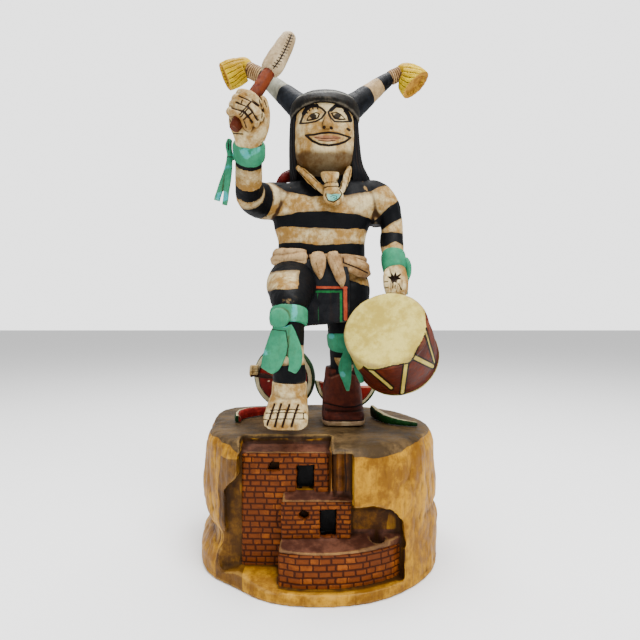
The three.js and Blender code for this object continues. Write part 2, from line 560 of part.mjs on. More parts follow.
// HORNS: cone, wrap and corn-husk tassel carved together
const HORN_RIGHT = {
  root: [-4.5, -3.3, 242.6],
  brow: [-13.9, 0, 251.8],
  wrapFrom: [-34.4, 7.4, 271.4],
  wrapTo: [-43, 9, 276.5],
  tassel: [[-44.6, 9.2, 277, 6.2], [-47.4, 9.2, 275.6, 7.4], [-52, 8.8, 273.4, 8.2], [-56.4, 8, 271.2, 7.9]],
  radii: [8.8, 7.2, 3.9, 4.5],
};
const HORN_LEFT = {
  root: [10, -3.6, 242.2],
  brow: [19.6, 0, 250.8],
  wrapFrom: [40.8, 8, 270.2],
  wrapTo: [47.2, 9, 273.8],
  tassel: [[48.6, 9, 273.8, 5.9], [51.2, 8.7, 272.2, 7.7], [54.2, 8, 269, 9], [56.6, 7.2, 265.8, 9.5]],
  radii: [8.8, 7.3, 3.9, 4.1],
};
function makeHorn({ root, brow, wrapFrom, wrapTo, tassel, radii }) {
  const cone = limb([
    [...root, radii[0], radii[0]], [...brow, radii[1], radii[1]], [...wrapFrom, radii[2], radii[2]],
    [...wrapTo, 2.6, 2.6],
  ], 12, 1, [0, 1, 0]);
  const from = new THREE.Vector3(...wrapFrom);
  const to = new THREE.Vector3(...wrapTo);
  const wrapRows = [0, 1, 2, 3, 4, 5].map((i) => {
    const p = from.clone().lerp(to, i / 5);
    return [p.x, p.y, p.z, radii[3] - (i % 2 ? 0.5 : 0), radii[3] - (i % 2 ? 0.5 : 0)];
  });
  const wrap = limb(wrapRows, 10, 1, [0, 1, 0]);
  const start = to.clone().lerp(from, 0.12);
  const rows = [[start.x, start.y, start.z, radii[3] - 0.6, radii[3] - 0.6], ...tassel.map((row) => [...row, row[3]])];
  const skirt = limb(rows, 16, 1, [0, 1, 0]);
  const tip = new THREE.Vector3(...tassel[tassel.length - 1].slice(0, 3));
  const before = new THREE.Vector3(...tassel[tassel.length - 2].slice(0, 3));
  const end = tip.clone().sub(before).normalize();
  const wide = tassel[tassel.length - 1][3];
  const dip = limb([
    [...tip.clone().addScaledVector(end, 2).toArray(), wide * 0.95, wide * 0.95],
    [...tip.clone().addScaledVector(end, -1.8).toArray(), wide * 0.6, wide * 0.6],
  ], 10, 1, [0, 1, 0]);
  return join([cone, wrap, skirt.subtract(dip)]).subtract(makeHead(CLEAR));
}

// BEATER: wooden handle and padded head
function makeBeater() {
  const from = new THREE.Vector3(...GRIP.from);
  const to = new THREE.Vector3(...GRIP.to);
  const along = to.clone().sub(from).normalize();
  const handle = bar(from.toArray(), to.clone().addScaledVector(along, 2).toArray(), GRIP_RADIUS - 0.1, GRIP_RADIUS + 0.2, 12);
  const rows = [[-1.2, 3], [-0.2, 4.5], [3, 5.3], [8, 5.3], [13, 4.8], [18, 4.3], [22, 3.5], [24, 1.6]];
  const head = limb(rows.map(([s, r]) => {
    const p = to.clone().addScaledVector(along, s);
    return [p.x - 0.0016 * s * s, p.y, p.z + s * 0.02, r, r * 0.86];
  }), 12, 1, [1, 0, 0]);
  return handle.add(head);
}

// DRUM: barrel with a skin over each end
function makeDrum() {
  const from = new THREE.Vector3(...DRUM_FRONT);
  const row = (s, r) => [...from.clone().addScaledVector(DRUM_AXIS, s).toArray(), r, r];
  const back = DRUM_RADIUS + DRUM_FLARE;
  return limb([
    row(0, DRUM_RADIUS - 0.8), row(0.9, DRUM_RADIUS + 0.2), row(2.8, DRUM_RADIUS + 0.5), row(3, DRUM_RADIUS),
    row(9, DRUM_RADIUS + 0.5), row(19, DRUM_RADIUS + 0.9), row(DRUM_LENGTH - 3, back - 0.5),
    row(DRUM_LENGTH - 2.8, back + 0.1), row(DRUM_LENGTH - 0.8, back), row(DRUM_LENGTH, back - 0.8),
  ], 32, 1, [1, 0, 0]);
}

// MELON: a standing half, a crescent slice, a lying slice and a rind wedge
function makeMelonHalf() {
  const rows = [[-0.4, 19], [0, 20.6], [1, 21.2], [5, 20.8], [10, 18.3], [14.5, 13], [17.6, 4.4]];
  const turn = new THREE.Vector3(0.3, 0.94, 0.08).normalize();
  const middle = new THREE.Vector3(-24.3, 41.5, 89.8);
  return limb(rows.map(([s, r]) => [...middle.clone().addScaledVector(turn, s).toArray(), r, r]), 24, 1)
    .subtract(block(-60, 20, 0, 90, 40, BASE_HEIGHT + CLEAR));
}

function makeKnife() {
  const handle = limb([
    [-43.5, 43.8, 98, 2.3, 1.6], [-43.5, 43.8, 97.4, 2.7, 2], [-43.8, 43.8, 91.2, 2.7, 2],
    [-43.6, 43.8, 90.4, 2.1, 1.5],
  ], 8, 1, [1, 0, 0], 4);
  const blade = limb([
    [-44.6, 45.1, 91.7, 0.5, 1.5], [-35, 43.75, 90.4, 0.5, 1.6], [-29.2, 42.05, 89.8, 0.4, 0.6],
  ], 6, 1, [0, 1, 0]);
  return handle.add(blade);
}

function makeCrescent() {
  const middle = [16.8, 38, 90];
  const disc = limb([
    [middle[0], 34.6, middle[2], 19.4, 19.4], [middle[0], 35, middle[2], 20.4, 20.4],
    [middle[0], 38.4, middle[2], 20, 20], [middle[0], 40.4, middle[2], 17.2, 17.2],
  ], 28, 1);
  const cut = plateXZ([[-10, 91.4], [-3, 89.8], [3, 88], [14, 85.6], [28, 84.8], [35, 85.6], [45, 87.6], [45, 130], [-10, 130]], 20, 60);
  return disc.subtract(cut).subtract(block(-20, 60, 0, 90, 40, BASE_HEIGHT + CLEAR));
}

function makeLyingSlice() {
  const base = BASE_HEIGHT + CLEAR;
  const outer = [[-47.5, -6.5], [-48.4, -2], [-48, 4], [-45, 9.5], [-40.5, 14], [-35, 17.6], [-28, 20], [-23, 20.6]];
  const rings = outer.map(([x, y], i) => {
    const t = i / (outer.length - 1);
    const high = 2 + 3.2 * Math.sin(Math.PI * Math.min(1, 0.16 + t * 0.75));
    const inward = new THREE.Vector3(-16 - x, -6 - y, 0).normalize();
    const thick = 2 + 2.6 * Math.sin(Math.PI * Math.min(1, 0.15 + t * 0.8));
    const foot = new THREE.Vector3(x, y, base);
    return [
      foot.clone(),
      foot.clone().addScaledVector(inward, thick),
      foot.clone().addScaledVector(inward, thick * 0.8).setZ(base + high),
      foot.clone().addScaledVector(inward, thick * 0.25).setZ(base + high),
      foot.clone().addScaledVector(inward, -0.5).setZ(base + high * 0.55),
    ];
  });
  return skin(rings);
}

function makeRindWedge() {
  const base = BASE_HEIGHT + CLEAR;
  const line = [[30.2, 12], [31.2, 6], [33.2, -2], [36.6, -9.6], [42, -15], [48, -17.8], [52.6, -18.4]];
  const rings = line.map(([x, y], i) => {
    const t = i / (line.length - 1);
    const high = 6.6 - 4.4 * t;
    const inward = new THREE.Vector3(56 - x, 12 - y, 0).normalize();
    const thick = 1.4 + 3 * Math.sin(Math.PI * Math.min(0.96, 0.1 + 0.85 * t));
    const foot = new THREE.Vector3(x, y, base);
    return [
      foot.clone(),
      foot.clone().addScaledVector(inward, thick),
      foot.clone().addScaledVector(inward, thick).setZ(base + high * 0.8),
      foot.clone().addScaledVector(inward, -0.6).setZ(base + high),
    ];
  });
  return skin(rings);
}

// Put the pieces together
function makeFigure() {
  const body = join([
    makeTorso(), makeHead(), makeFace(), makeScarf(), makeRaisedArm(), makeLoweredArm(),
    makeBelt(), makeRaisedLeg(), makeStandingLeg(),
  ]);
  const from = new THREE.Vector3(...GRIP.from);
  const to = new THREE.Vector3(...GRIP.to);
  const along = to.clone().sub(from).normalize();
  const hole = bar(from.clone().addScaledVector(along, -6).toArray(), to.toArray(),
    GRIP_RADIUS + CLEAR + 0.1, GRIP_RADIUS + CLEAR + 0.4, 14);
  const floor = block(-80, 80, -80, 80, 40, BASE_HEIGHT + CLEAR);
  return body.subtract(join([hole, floor]));
}

// The hand and streamers stop short of the drum
function drumSpace() {
  const from = new THREE.Vector3(...DRUM_FRONT);
  const row = (s, r) => [...from.clone().addScaledVector(DRUM_AXIS, s).toArray(), r, r];
  const wide = DRUM_RADIUS + 0.9;
  return limb([row(-CLEAR, wide), row(DRUM_LENGTH + CLEAR, wide + DRUM_FLARE)], 24, 1, [1, 0, 0]);
}

const group = new THREE.Group();
group.name = 'kachina_doll';

function place(name, made, color) {
  const mesh = made.getMesh();
  const geometry = new THREE.BufferGeometry();
  geometry.setAttribute('position', new THREE.BufferAttribute(new Float32Array(mesh.vertProperties), 3));
  geometry.setIndex(new THREE.BufferAttribute(new Uint32Array(mesh.triVerts), 1));
  const material = new THREE.MeshStandardMaterial({ color, roughness: 0.75, flatShading: true });
  material.name = `${name}_paint`;
  const piece = new THREE.Mesh(geometry, material);
  piece.name = name;
  group.add(piece);
}

place('base', makeBase(), 0xb08a4a);
place('figure', makeFigure().subtract(drumSpace()), 0xc9b48c);
place('horn_right', makeHorn(HORN_RIGHT), 0xd8c59c);
place('horn_left', makeHorn(HORN_LEFT), 0xd8c59c);
place('beater', makeBeater(), 0x9a5a3a);
place('drum', makeDrum(), 0xd0c088);
place('melon_half', makeMelonHalf(), 0x8a3028);
place('knife', makeKnife(), 0xd8c8a4);
place('melon_crescent', makeCrescent(), 0x7a2a24);
place('melon_slice', makeLyingSlice(), 0xb07a6a);
place('melon_rind', makeRindWedge(), 0x1c4a24);

export default group;
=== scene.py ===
"""Carved and painted kachina doll on a rock base with a small pueblo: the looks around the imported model.

Sizes in the tables are millimetres, +Z up, the front faces -Y. Pieces are made in metres.
"""
import math

import bpy
import numpy as np
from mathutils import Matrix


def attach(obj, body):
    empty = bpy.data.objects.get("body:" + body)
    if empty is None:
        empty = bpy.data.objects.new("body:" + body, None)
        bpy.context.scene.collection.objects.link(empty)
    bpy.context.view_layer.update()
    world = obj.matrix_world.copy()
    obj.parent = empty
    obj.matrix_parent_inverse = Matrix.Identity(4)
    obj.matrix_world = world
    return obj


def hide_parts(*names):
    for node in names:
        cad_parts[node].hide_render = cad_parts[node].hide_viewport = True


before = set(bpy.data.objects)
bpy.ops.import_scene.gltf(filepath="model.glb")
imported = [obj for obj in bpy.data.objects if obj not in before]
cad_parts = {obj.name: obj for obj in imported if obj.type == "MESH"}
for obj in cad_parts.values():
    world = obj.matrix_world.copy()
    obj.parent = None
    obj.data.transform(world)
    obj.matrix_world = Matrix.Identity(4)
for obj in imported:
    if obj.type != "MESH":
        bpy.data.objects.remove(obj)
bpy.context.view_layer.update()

bl_info = {
    "name": "Carved kachina doll",
    "version": (1, 0, 0),
    "blender": (4, 5, 0),
    "location": "3D View > Sidebar > Carved doll",
    "description": "A carved and painted wooden doll on a rock base, in pieces",
    "category": "Add Mesh",
}

# The front view sheet: measured points are given on it, with its middle at 320, 320
SHEET_MIDDLE = 320.0
SHEET_HEIGHT = 127.7
EYE_DISTANCE = 292.0
SHEET_FOCUS = 507.8

# Top of the rock, on which the feet and the melon pieces stand
GROUND = 70.3
# Value of a painted field where its paint is nowhere near
NOWHERE = -9.0
# How far a coat of black paint stands proud
PAINT_THICKNESS = 0.06
# Middle of the head
HEAD_X = 2.7
HEAD_Y = -4.0


# Shapes

def through(stations, spacing=0.7):
    """A smooth curve through rows of numbers.

    Each pair of rows is joined by a cubic whose slopes come from the neighbours, weighted by
    the square root of the distance between rows, so that close rows make no loop.
    """
    rows = np.array(stations, float)
    gaps = np.maximum(np.linalg.norm(np.diff(rows, axis=0), axis=1), 1e-6)
    step = np.sqrt(gaps)[:, None]
    slope = np.diff(rows, axis=0) / step
    tangent = np.concatenate([slope[:1], slope])
    tangent[-1] = slope[-1]
    tangent[1:-1] = (slope[:-1] * step[1:] + slope[1:] * step[:-1]) / (step[:-1] + step[1:])
    out = []
    for i, gap in enumerate(gaps):
        t = np.linspace(0, 1, max(2, math.ceil(gap / spacing)), endpoint=False)[:, None]
        out.append(
            (2 * t**3 - 3 * t**2 + 1) * rows[i] + (t**3 - 2 * t**2 + t) * step[i] * tangent[i]
            + (3 * t**2 - 2 * t**3) * rows[i + 1] + (t**3 - t**2) * step[i] * tangent[i + 1]
        )
    out.append(rows[-1:])
    return np.concatenate(out)


def section(count, power, shift=0.0):
    """Points round a rounded square: the direction scaled so that |x|^power + |y|^power is one."""
    angle = 2 * np.pi * (np.arange(count) + shift) / count
    c, s = np.cos(angle), np.sin(angle)
    size = (np.abs(c) ** power + np.abs(s) ** power) ** (-1 / power)
    return c * size, s * size


def skin(rings):
    """Triangles over a grid of rings, closed by a fan round the middle of each end ring."""
    count, around = rings.shape[:2]
    points = np.concatenate([rings.reshape(-1, 3), [rings[0].mean(0)], [rings[-1].mean(0)]])
    i, j = np.meshgrid(np.arange(count - 1), np.arange(around), indexing="ij")
    a = (i * around + j).ravel()
    b = (i * around + (j + 1) % around).ravel()
    side = np.concatenate([np.stack([a, b, a + around], 1), np.stack([b, b + around, a + around], 1)])
    ring = np.arange(around)
    after = (ring + 1) % around
    first, last = count * around, count * around + 1
    foot = np.stack([np.full(around, first), after, ring], 1)
    top = np.stack([np.full(around, last), ring + last - 1 - around, after + last - 1 - around], 1)
    faces = np.concatenate([side, foot, top])
    return outward(points, faces)


def outward(points, faces):
    """The same triangles, turned round when the volume that they hold comes out negative."""
    a, b, c = points[faces[:, 0]], points[faces[:, 1]], points[faces[:, 2]]
    if np.einsum("ij,ij->i", a, np.cross(b, c)).sum() < 0:
        faces = faces[:, ::-1]
    return points, faces


def stack(stations, around=72, power=2.0, grow=0.0, spacing=0.7):
    """Level sections up Z. Rows are z, middle x, middle y, half width, half depth."""
    rows = through(stations, spacing)
    c, s = section(around, power)
    z, x, y, a, b = rows.T[:, :, None]
    return skin(np.stack([x + (a + grow) * c, y + (b + grow) * s, z + 0 * c], 2))


def limb(stations, around=40, side=(1, 0, 0), power=2.0, grow=0.0, spacing=0.7):
    """Sections square to a path. Rows are x, y, z, half width along the side vector, half depth."""
    rows = through(stations, spacing)
    path = rows[:, :3]
    along = np.gradient(path, axis=0)
    along /= np.linalg.norm(along, axis=1, keepdims=True)
    side = np.array(side, float)
    across = side - along * (along @ side)[:, None]
    across /= np.linalg.norm(across, axis=1, keepdims=True)
    other = np.cross(along, across)
    c, s = section(around, power, 0.5)
    wide = (rows[:, 3, None] + grow) * c
    deep = (rows[:, 4, None] + grow) * s
    return skin(path[:, None] + across[:, None] * wide[..., None] + other[:, None] * deep[..., None])


def block(x0, x1, y0, y1, z0, z1):
    """A plain block between two corners, used only to cut with or inside a blend."""
    corners = np.array([[x, y, z] for x in (x0, x1) for y in (y0, y1) for z in (z0, z1)], float)
    faces = np.array([[0, 1, 3], [0, 3, 2], [4, 6, 7], [4, 7, 5], [0, 4, 5], [0, 5, 1],
                      [2, 3, 7], [2, 7, 6], [0, 2, 6], [0, 6, 4], [1, 5, 7], [1, 7, 3]])
    return outward(corners, faces)


def together(shells):
    """Several shells as one list of points and one of faces."""
    points, faces, count = [], [], 0
    for p, f in shells:
        points.append(p)
        faces.append(f + count)
        count += len(p)
    return np.concatenate(points), np.concatenate(faces)


def mesh_of(name, points, faces):
    """A mesh in metres from points in millimetres and faces of equal size."""
    mesh = bpy.data.meshes.new(name)
    count, size = faces.shape
    mesh.vertices.add(len(points))
    mesh.vertices.foreach_set("co", (points * 0.001).astype(np.float32).ravel())
    mesh.loops.add(count * size)
    mesh.loops.foreach_set("vertex_index", faces.astype(np.int32).ravel())
    mesh.polygons.add(count)
    mesh.polygons.foreach_set("loop_start", np.arange(0, count * size, size, dtype=np.int32))
    mesh.update(calc_edges=True)
    return mesh


def shown_arrays(thing):
    """Points in millimetres and the four-sided faces of an object after its modifiers."""
    view = thing.evaluated_get(bpy.context.evaluated_depsgraph_get())
    mesh = view.to_mesh()
    points = np.zeros(len(mesh.vertices) * 3, np.float32)
    mesh.vertices.foreach_get("co", points)
    faces = np.zeros(len(mesh.loops), np.int32)
    mesh.loops.foreach_get("vertex_index", faces)
    size = len(mesh.loops) // max(1, len(mesh.polygons))
    view.to_mesh_clear()
    return points.reshape(-1, 3).astype(float) * 1000, faces.reshape(-1, size)


def blend(shells, grain, cuts=()):
    """Overlapping shells as one skin: an even net of faces, grain millimetres across.

    Cutters are taken away after the shells are one, and the net is laid once more.
    """
    rough = bpy.data.objects.new("rough", mesh_of("rough", *together(shells)))
    bpy.context.scene.collection.objects.link(rough)
    made = [rough]

    def net():
        step = rough.modifiers.new("net", "REMESH")
        step.mode = "VOXEL"
        step.voxel_size = grain * 0.001
        step.use_smooth_shade = True

    net()
    for n, cut in enumerate(cuts):
        tool = bpy.data.objects.new(f"tool_{n}", mesh_of("tool", *cut))
        bpy.context.scene.collection.objects.link(tool)
        tool.hide_render = True
        made.append(tool)
        step = rough.modifiers.new("cut", "BOOLEAN")
        step.operation = "DIFFERENCE"
        step.solver = "MANIFOLD"
        step.object = tool
    if cuts:
        net()
    points, faces = shown_arrays(rough)
    for thing in made:
        mesh = thing.data
        bpy.data.objects.remove(thing)
        bpy.data.meshes.remove(mesh)
    return points, faces


def surface(rounds, shells, grain, cuts=(), floor=None):
    """Shells blended into one skin, relaxed for some rounds, with the normals at its points.

    Where a floor height is given, points below it move up to it.
    """
    points, faces = blend(shells, grain, cuts)
    points = relax(points, faces, rounds)
    if floor is not None:
        points[:, 2] = np.maximum(points[:, 2], floor)
    return points, faces, normals_of(points, faces)


def carve(points, normals, cut, sizes):
    """Points moved inwards along their normals by the cut, scaled by the panel's carving depth."""
    return points - normals * (cut * sizes.carving / 0.001)[:, None]


def edges_of(faces):
    """Both ends of every edge, from the corners of the faces."""
    return np.concatenate([np.stack([faces[:, i], faces[:, (i + 1) % faces.shape[1]]], 1)
                           for i in range(faces.shape[1])])


def average(values, edges, count):
    """Every point's mean over its neighbours."""
    total = np.stack([np.bincount(edges[:, 0], values[edges[:, 1], k], count)
                      + np.bincount(edges[:, 1], values[edges[:, 0], k],
                                    count) for k in range(values.shape[1])], 1)
    near = np.bincount(edges.ravel(), minlength=count)
    return total / np.maximum(near, 1)[:, None]


def relax(points, faces, rounds):
    """Each round moves a point half way to its neighbours' mean, then a little less back."""
    edges = edges_of(faces)
    for _ in range(rounds):
        points = points + 0.5 * (average(points, edges, len(points)) - points)
        points = points - 0.42 * (average(points, edges, len(points)) - points)
    return points


def normals_of(points, faces):
    """Each point's normal: the sum of the normals of the faces that meet there."""
    a = points[faces[:, 2 % faces.shape[1]]] - points[faces[:, 0]]
    b = points[faces[:, -1]] - points[faces[:, 1]]
    flat = np.cross(a, b) if faces.shape[1] == 4 else np.cross(
        points[faces[:, 1]] - points[faces[:, 0]], points[faces[:, 2]] - points[faces[:, 0]])
    out = np.stack([sum(np.bincount(faces[:, i], flat[:, k], len(points)) for i in range(faces.shape[1]))
                    for k in range(3)], 1)
    return out / np.maximum(np.linalg.norm(out, axis=1, keepdims=True), 1e-9)


def recess(points, faces, rounds, scale):
    """How far a point lies inside the smoothed surface: above zero in a hollow, below on a ridge."""
    edges = edges_of(faces)
    calm = points
    for _ in range(rounds):
        calm = 0.5 * calm + 0.5 * average(calm, edges, len(points))
    return np.clip(np.einsum("ij,ij->i", calm - points, normals_of(points, faces)) / scale, -1, 1)


# Marks of the knife and brush

def scatter(cells, seed):
    """A fixed number between -1 and 1 for each cell of a lattice, from its whole coordinates."""
    n = (cells[..., 0] * 73856093) ^ (cells[..., 1] * 19349663) ^ (cells[..., 2] * 83492791)
    n = (n + seed * 668265263) & 0xFFFFFFFF
    n = ((n ^ (n >> 15)) * 2246822519) & 0xFFFFFFFF
    n = ((n ^ (n >> 13)) * 3266489917) & 0xFFFFFFFF
    return ((n ^ (n >> 16)) & 0xFFFF) / 32767.5 - 1


def drift(points, size, seed=0):
    """Smooth noise from -1 to 1: lattice numbers, size millimetres apart, eased into each other."""
    at = points / np.array(size, float)
    cell = np.floor(at).astype(np.int64)
    part = at - cell
    part = part * part * (3 - 2 * part)
    total = np.zeros(len(points))
    for corner in np.ndindex(2, 2, 2):
        share = np.prod(np.where(np.array(corner), part, 1 - part), axis=1)
        total += scatter(cell + corner, seed) * share
    return total


def facets(points, size, seed=0):
    """Squared distance to the nearest of one seed per lattice cell: shallow cuts with ridges between."""
    at = points / np.array(size, float)
    cell = np.floor(at).astype(np.int64)
    best = np.full(len(points), 9.0)
    for step in np.ndindex(3, 3, 3):
        near = cell + np.array(step) - 1
        seed_at = near + 0.5 + 0.42 * np.stack([scatter(near, seed + k) for k in (1, 2, 3)], 1)
        best = np.minimum(best, ((at - seed_at) ** 2).sum(1))
    return np.minimum(best, 1)


def on_sheet(points):
    """Where points fall on the front view sheet."""
    scale = (EYE_DISTANCE + points[:, 1]) / SHEET_FOCUS
    return np.stack([SHEET_MIDDLE + points[:, 0] / scale,
                     SHEET_MIDDLE - (points[:, 2] - SHEET_HEIGHT) / scale], 1), scale


def off_lines(places, lines):
    """Distance to the nearest of several drawn lines, each a row of places."""
    best = np.full(len(places), 1e3)
    for line in lines:
        line = np.array(line, float)
        for a, b in zip(line[:-1], line[1:]):
            along = b - a
            t = np.clip(((places - a) @ along) / max(along @ along, 1e-9), 0, 1)
            best = np.minimum(best, np.linalg.norm(places - a - t[:, None] * along, axis=1))
    return best


def within(places, outline):
    """Distance to a closed outline: above zero inside, below outside."""
    ring = np.array(list(outline) + [outline[0]], float)
    inside = np.zeros(len(places), bool)
    for a, b in zip(ring[:-1], ring[1:]):
        crosses = (a[1] > places[:, 1]) != (b[1] > places[:, 1])
        rise = b[1] - a[1] if b[1] != a[1] else 1e-9
        inside ^= crosses & (places[:, 0] < (b[0] - a[0]) * (places[:, 1] - a[1]) / rise + a[0])
    return np.where(inside, 1, -1) * off_lines(places, [ring])


def drawn(points, normals, lines, half, facing=-0.1):
    """Thin lines drawn on the front of a piece: millimetres inside a line, below zero outside."""
    places, scale = on_sheet(points)
    depth = half - off_lines(places, lines) * scale
    return np.where(normals[:, 1] < facing, depth, NOWHERE)


def level(value, low, high):
    """Eased step from 0 at low to 1 at high."""
    t = np.clip((value - low) / (high - low), 0, 1)
    return t * t * (3 - 2 * t)


def beside(points, path):
    """Distance to a path less its radius there, and the length of path up to the nearest place."""
    rows = through(path, 1.0)
    run = np.concatenate([[0], np.cumsum(np.linalg.norm(np.diff(rows[:, :3], axis=0), axis=1))])
    best = np.full(len(points), 1e9)
    place = np.zeros(len(points))
    for i in range(len(rows) - 1):
        a, b = rows[i, :3], rows[i + 1, :3]
        along = b - a
        t = np.clip(((points - a) @ along) / max(along @ along, 1e-9), 0, 1)
        radius = rows[i, 3:5].max() * (1 - t) + rows[i + 1, 3:5].max() * t
        gap = np.linalg.norm(points - a - t[:, None] * along, axis=1) - radius
        nearer = gap < best
        best = np.where(nearer, gap, best)
        place = np.where(nearer, run[i] + t * (run[i + 1] - run[i]), place)
    return best, place


# Finishes

class Web:
    """Short calls that add and join the nodes of one material."""

    def __init__(self, name):
        self.material = bpy.data.materials.new(name)
        self.material.use_nodes = True
        self.nodes = self.material.node_tree.nodes
        self.links = self.material.node_tree.links
        self.nodes.clear()

    def add(self, kind, inputs=(), **settings):
        """A node of that kind. Inputs are values, or sockets to join."""
        node = self.nodes.new(kind)
        for key, value in settings.items():
            setattr(node, key, value)
        for key, value in dict(inputs).items():
            if isinstance(value, bpy.types.NodeSocket):
                self.links.new(value, node.inputs[key])
            else:
                node.inputs[key].default_value = value
        return node

    def math(self, operation, a, b):
        return self.add("ShaderNodeMath", {0: a, 1: b}, operation=operation).outputs[0]

    def times(self, a, b):
        return self.math("MULTIPLY", a, b)

    def plus(self, a, b):
        return self.math("ADD", a, b)

    def less(self, a, b):
        return self.math("SUBTRACT", a, b)

    def span(self, value, low, high, start=0.0, end=1.0):
        """Eased step from start where the value is low to end where it is high."""
        node = self.add("ShaderNodeMapRange", {0: value, 1: low, 2: high, 3: start, 4: end})
        node.interpolation_type = "SMOOTHSTEP"
        return node.outputs[0]

    def mix(self, share, first, second):
        """The first colour with a share of the second laid over it."""
        node = self.add("ShaderNodeMix", data_type="RGBA")
        for socket, value in ((node.inputs[0], share), (node.inputs[6], first), (node.inputs[7], second)):
            if isinstance(value, bpy.types.NodeSocket):
                self.links.new(value, socket)
            else:
                socket.default_value = value if isinstance(value, float) else (*value[:3], 1)
        return node.outputs[2]

    def noise(self, where, size, detail=3.0, rough=0.55):
        """Noise whose features are size millimetres across."""
        return self.add("ShaderNodeTexNoise", {"Vector": where, "Scale": 1000 / size, "Detail": detail,
                                               "Roughness": rough}).outputs[0]

    def field(self, name):
        """A field that the mesh carries at its points."""
        return self.add("ShaderNodeAttribute", attribute_name=name).outputs["Fac"]


# Sizes of the paint's patches, mottle, specks and fibres in millimetres, and how much it is deepened
BLOTCH, MOTTLE, SPECK, FIBRE = 17, 3.4, 0.9, 1.1
DEEPENING = 1.3
# Colour of the stain in fibres, hollows and coat edges, and of the painted shade in the hollows
WALNUT_STAIN = (0.075, 0.030, 0.008)
WORN_WOOD = (0.62, 0.55, 0.42)
# Near-black of the grime at specks and of the painted shade deep in the hollows
DIRT_AND_SHADE = (0.028, 0.014, 0.006)
SPECULAR, COAT, COAT_ROUGHNESS = 0.07, 0.02, 0.35


def finish(name, ground, dark, stain=WALNUT_STAIN, coats=(), lines=None, age=1.0, gloss=0.58,
           grain=(1, 1, 0.12), wear=0.35, tooth=0.12, halo=0.0):
    """A hand-painted wooden finish.

    The ground colour drifts to its darker shade in blotches and fine mottle. Coats are
    (field, colour, second colour): each covers the ground where its field is above zero, with a
    ragged brushed edge. Stain and a near-black gather in the hollows that the field "hollow" gives:
    partly the wood's patina and grime, partly painted shade, and painted shadow where a piece adds a
    shadow field to it. Stain also gathers near the edges of the first coat, wear pales the ridges,
    and fine fibres run along the grain. Roughness and bump follow the same mottle.
    """
    web = Web(name)
    where = web.add("ShaderNodeTexCoord").outputs["Object"]
    along = web.add("ShaderNodeMapping", {"Vector": where, "Scale": grain}).outputs[0]
    blotch = web.noise(where, BLOTCH, 2.0)
    mottle = web.noise(where, MOTTLE, 4.0, 0.65)
    speck = web.noise(where, SPECK, 3.0, 0.7)
    fibre = web.noise(along, FIBRE, 3.0, 0.6)
    hollow = web.field("hollow")

    shade = web.plus(web.times(blotch, 0.55), web.times(mottle, 0.45))
    colour = web.mix(web.span(shade, 0.40, 0.62), dark, ground)
    colour = web.mix(web.times(web.span(fibre, 0.5, 0.78), 0.34 * age), colour, stain)
    colour = web.mix(web.times(web.span(speck, 0.52, 0.72), 0.5 * age), colour, dark)

    # Stain and painted shade in the hollows first, so that coats lie over them
    stain_and_shade = web.plus(web.times(hollow, 0.9), web.times(mottle, 0.6))
    stain_and_shade = web.plus(stain_and_shade, web.times(blotch, 0.75))
    stain_and_shade = web.times(web.span(stain_and_shade, 0.62, 1.35), 0.85 * age)
    colour = web.mix(stain_and_shade, colour, stain)
    ragged = web.plus(web.times(web.less(mottle, 0.5), 2.2),
                      web.times(web.less(speck, 0.5), 0.5))
    rubbed = web.plus(web.times(hollow, -0.8), web.times(speck, 0.5))
    rubbed = web.plus(rubbed, web.times(mottle, 0.35))
    rubbed = web.span(rubbed, 0.78, 1.15)
    for n, (field, cover, cover_light) in enumerate(coats):
        edge = web.plus(web.field(field), web.times(ragged, 0.45 if n == 0 else 0.16))
        if n == 0 and halo:
            near = web.times(web.span(edge, -2.6, 0.3), web.span(blotch, 0.34, 0.7))
            colour = web.mix(web.times(near, halo), colour, stain)
        mask = web.span(edge, -0.12, 0.12)
        paint = web.mix(web.span(shade, 0.4, 0.62), cover, cover_light)
        paint = web.mix(web.times(web.span(fibre, 0.52, 0.7), 0.3), paint, cover)
        under = web.mix(web.times(rubbed, wear), paint, colour)
        colour = web.mix(mask, colour, under)
    if lines is not None:
        thin = web.plus(web.field("line"), web.times(web.less(speck, 0.5), 0.28))
        colour = web.mix(web.times(web.span(thin, -0.1, 0.08), 0.94), colour, lines)
    pale = web.times(rubbed, 0.22 * wear)
    colour = web.mix(pale, colour, WORN_WOOD)
    # Near-black deep in the hollows and at specks: grime, and in the hollows also painted shade
    dirt_and_shade = web.times(web.span(web.plus(hollow, web.times(speck, 0.3)), 0.35, 1.1),
                    0.6 * age)
    colour = web.mix(dirt_and_shade, colour, DIRT_AND_SHADE)

    colour = web.add("ShaderNodeGamma", {"Color": colour, "Gamma": DEEPENING}).outputs[0]
    rough = web.plus(web.span(mottle, 0.3, 0.75, gloss - 0.09, gloss + 0.12),
                     web.times(web.span(hollow, 0.0, 1.0), 0.15))
    height = web.plus(web.times(fibre, 0.8), web.times(speck, 0.5))
    height = web.plus(height, web.times(mottle, 0.9))
    bump = web.add("ShaderNodeBump", {"Strength": 1.0, "Distance": tooth * 0.001, "Height": height})
    shader = web.add("ShaderNodeBsdfPrincipled", {"Base Color": colour, "Roughness": rough,
                                                  "Normal": bump.outputs[0]})
    shader.inputs["Specular IOR Level"].default_value = SPECULAR
    shader.inputs["Coat Weight"].default_value = COAT
    shader.inputs["Coat Roughness"].default_value = COAT_ROUGHNESS
    out = web.add("ShaderNodeOutputMaterial", {"Surface": shader.outputs[0]})
    out.is_active_output = True
    return web.material


FINISHES = {}


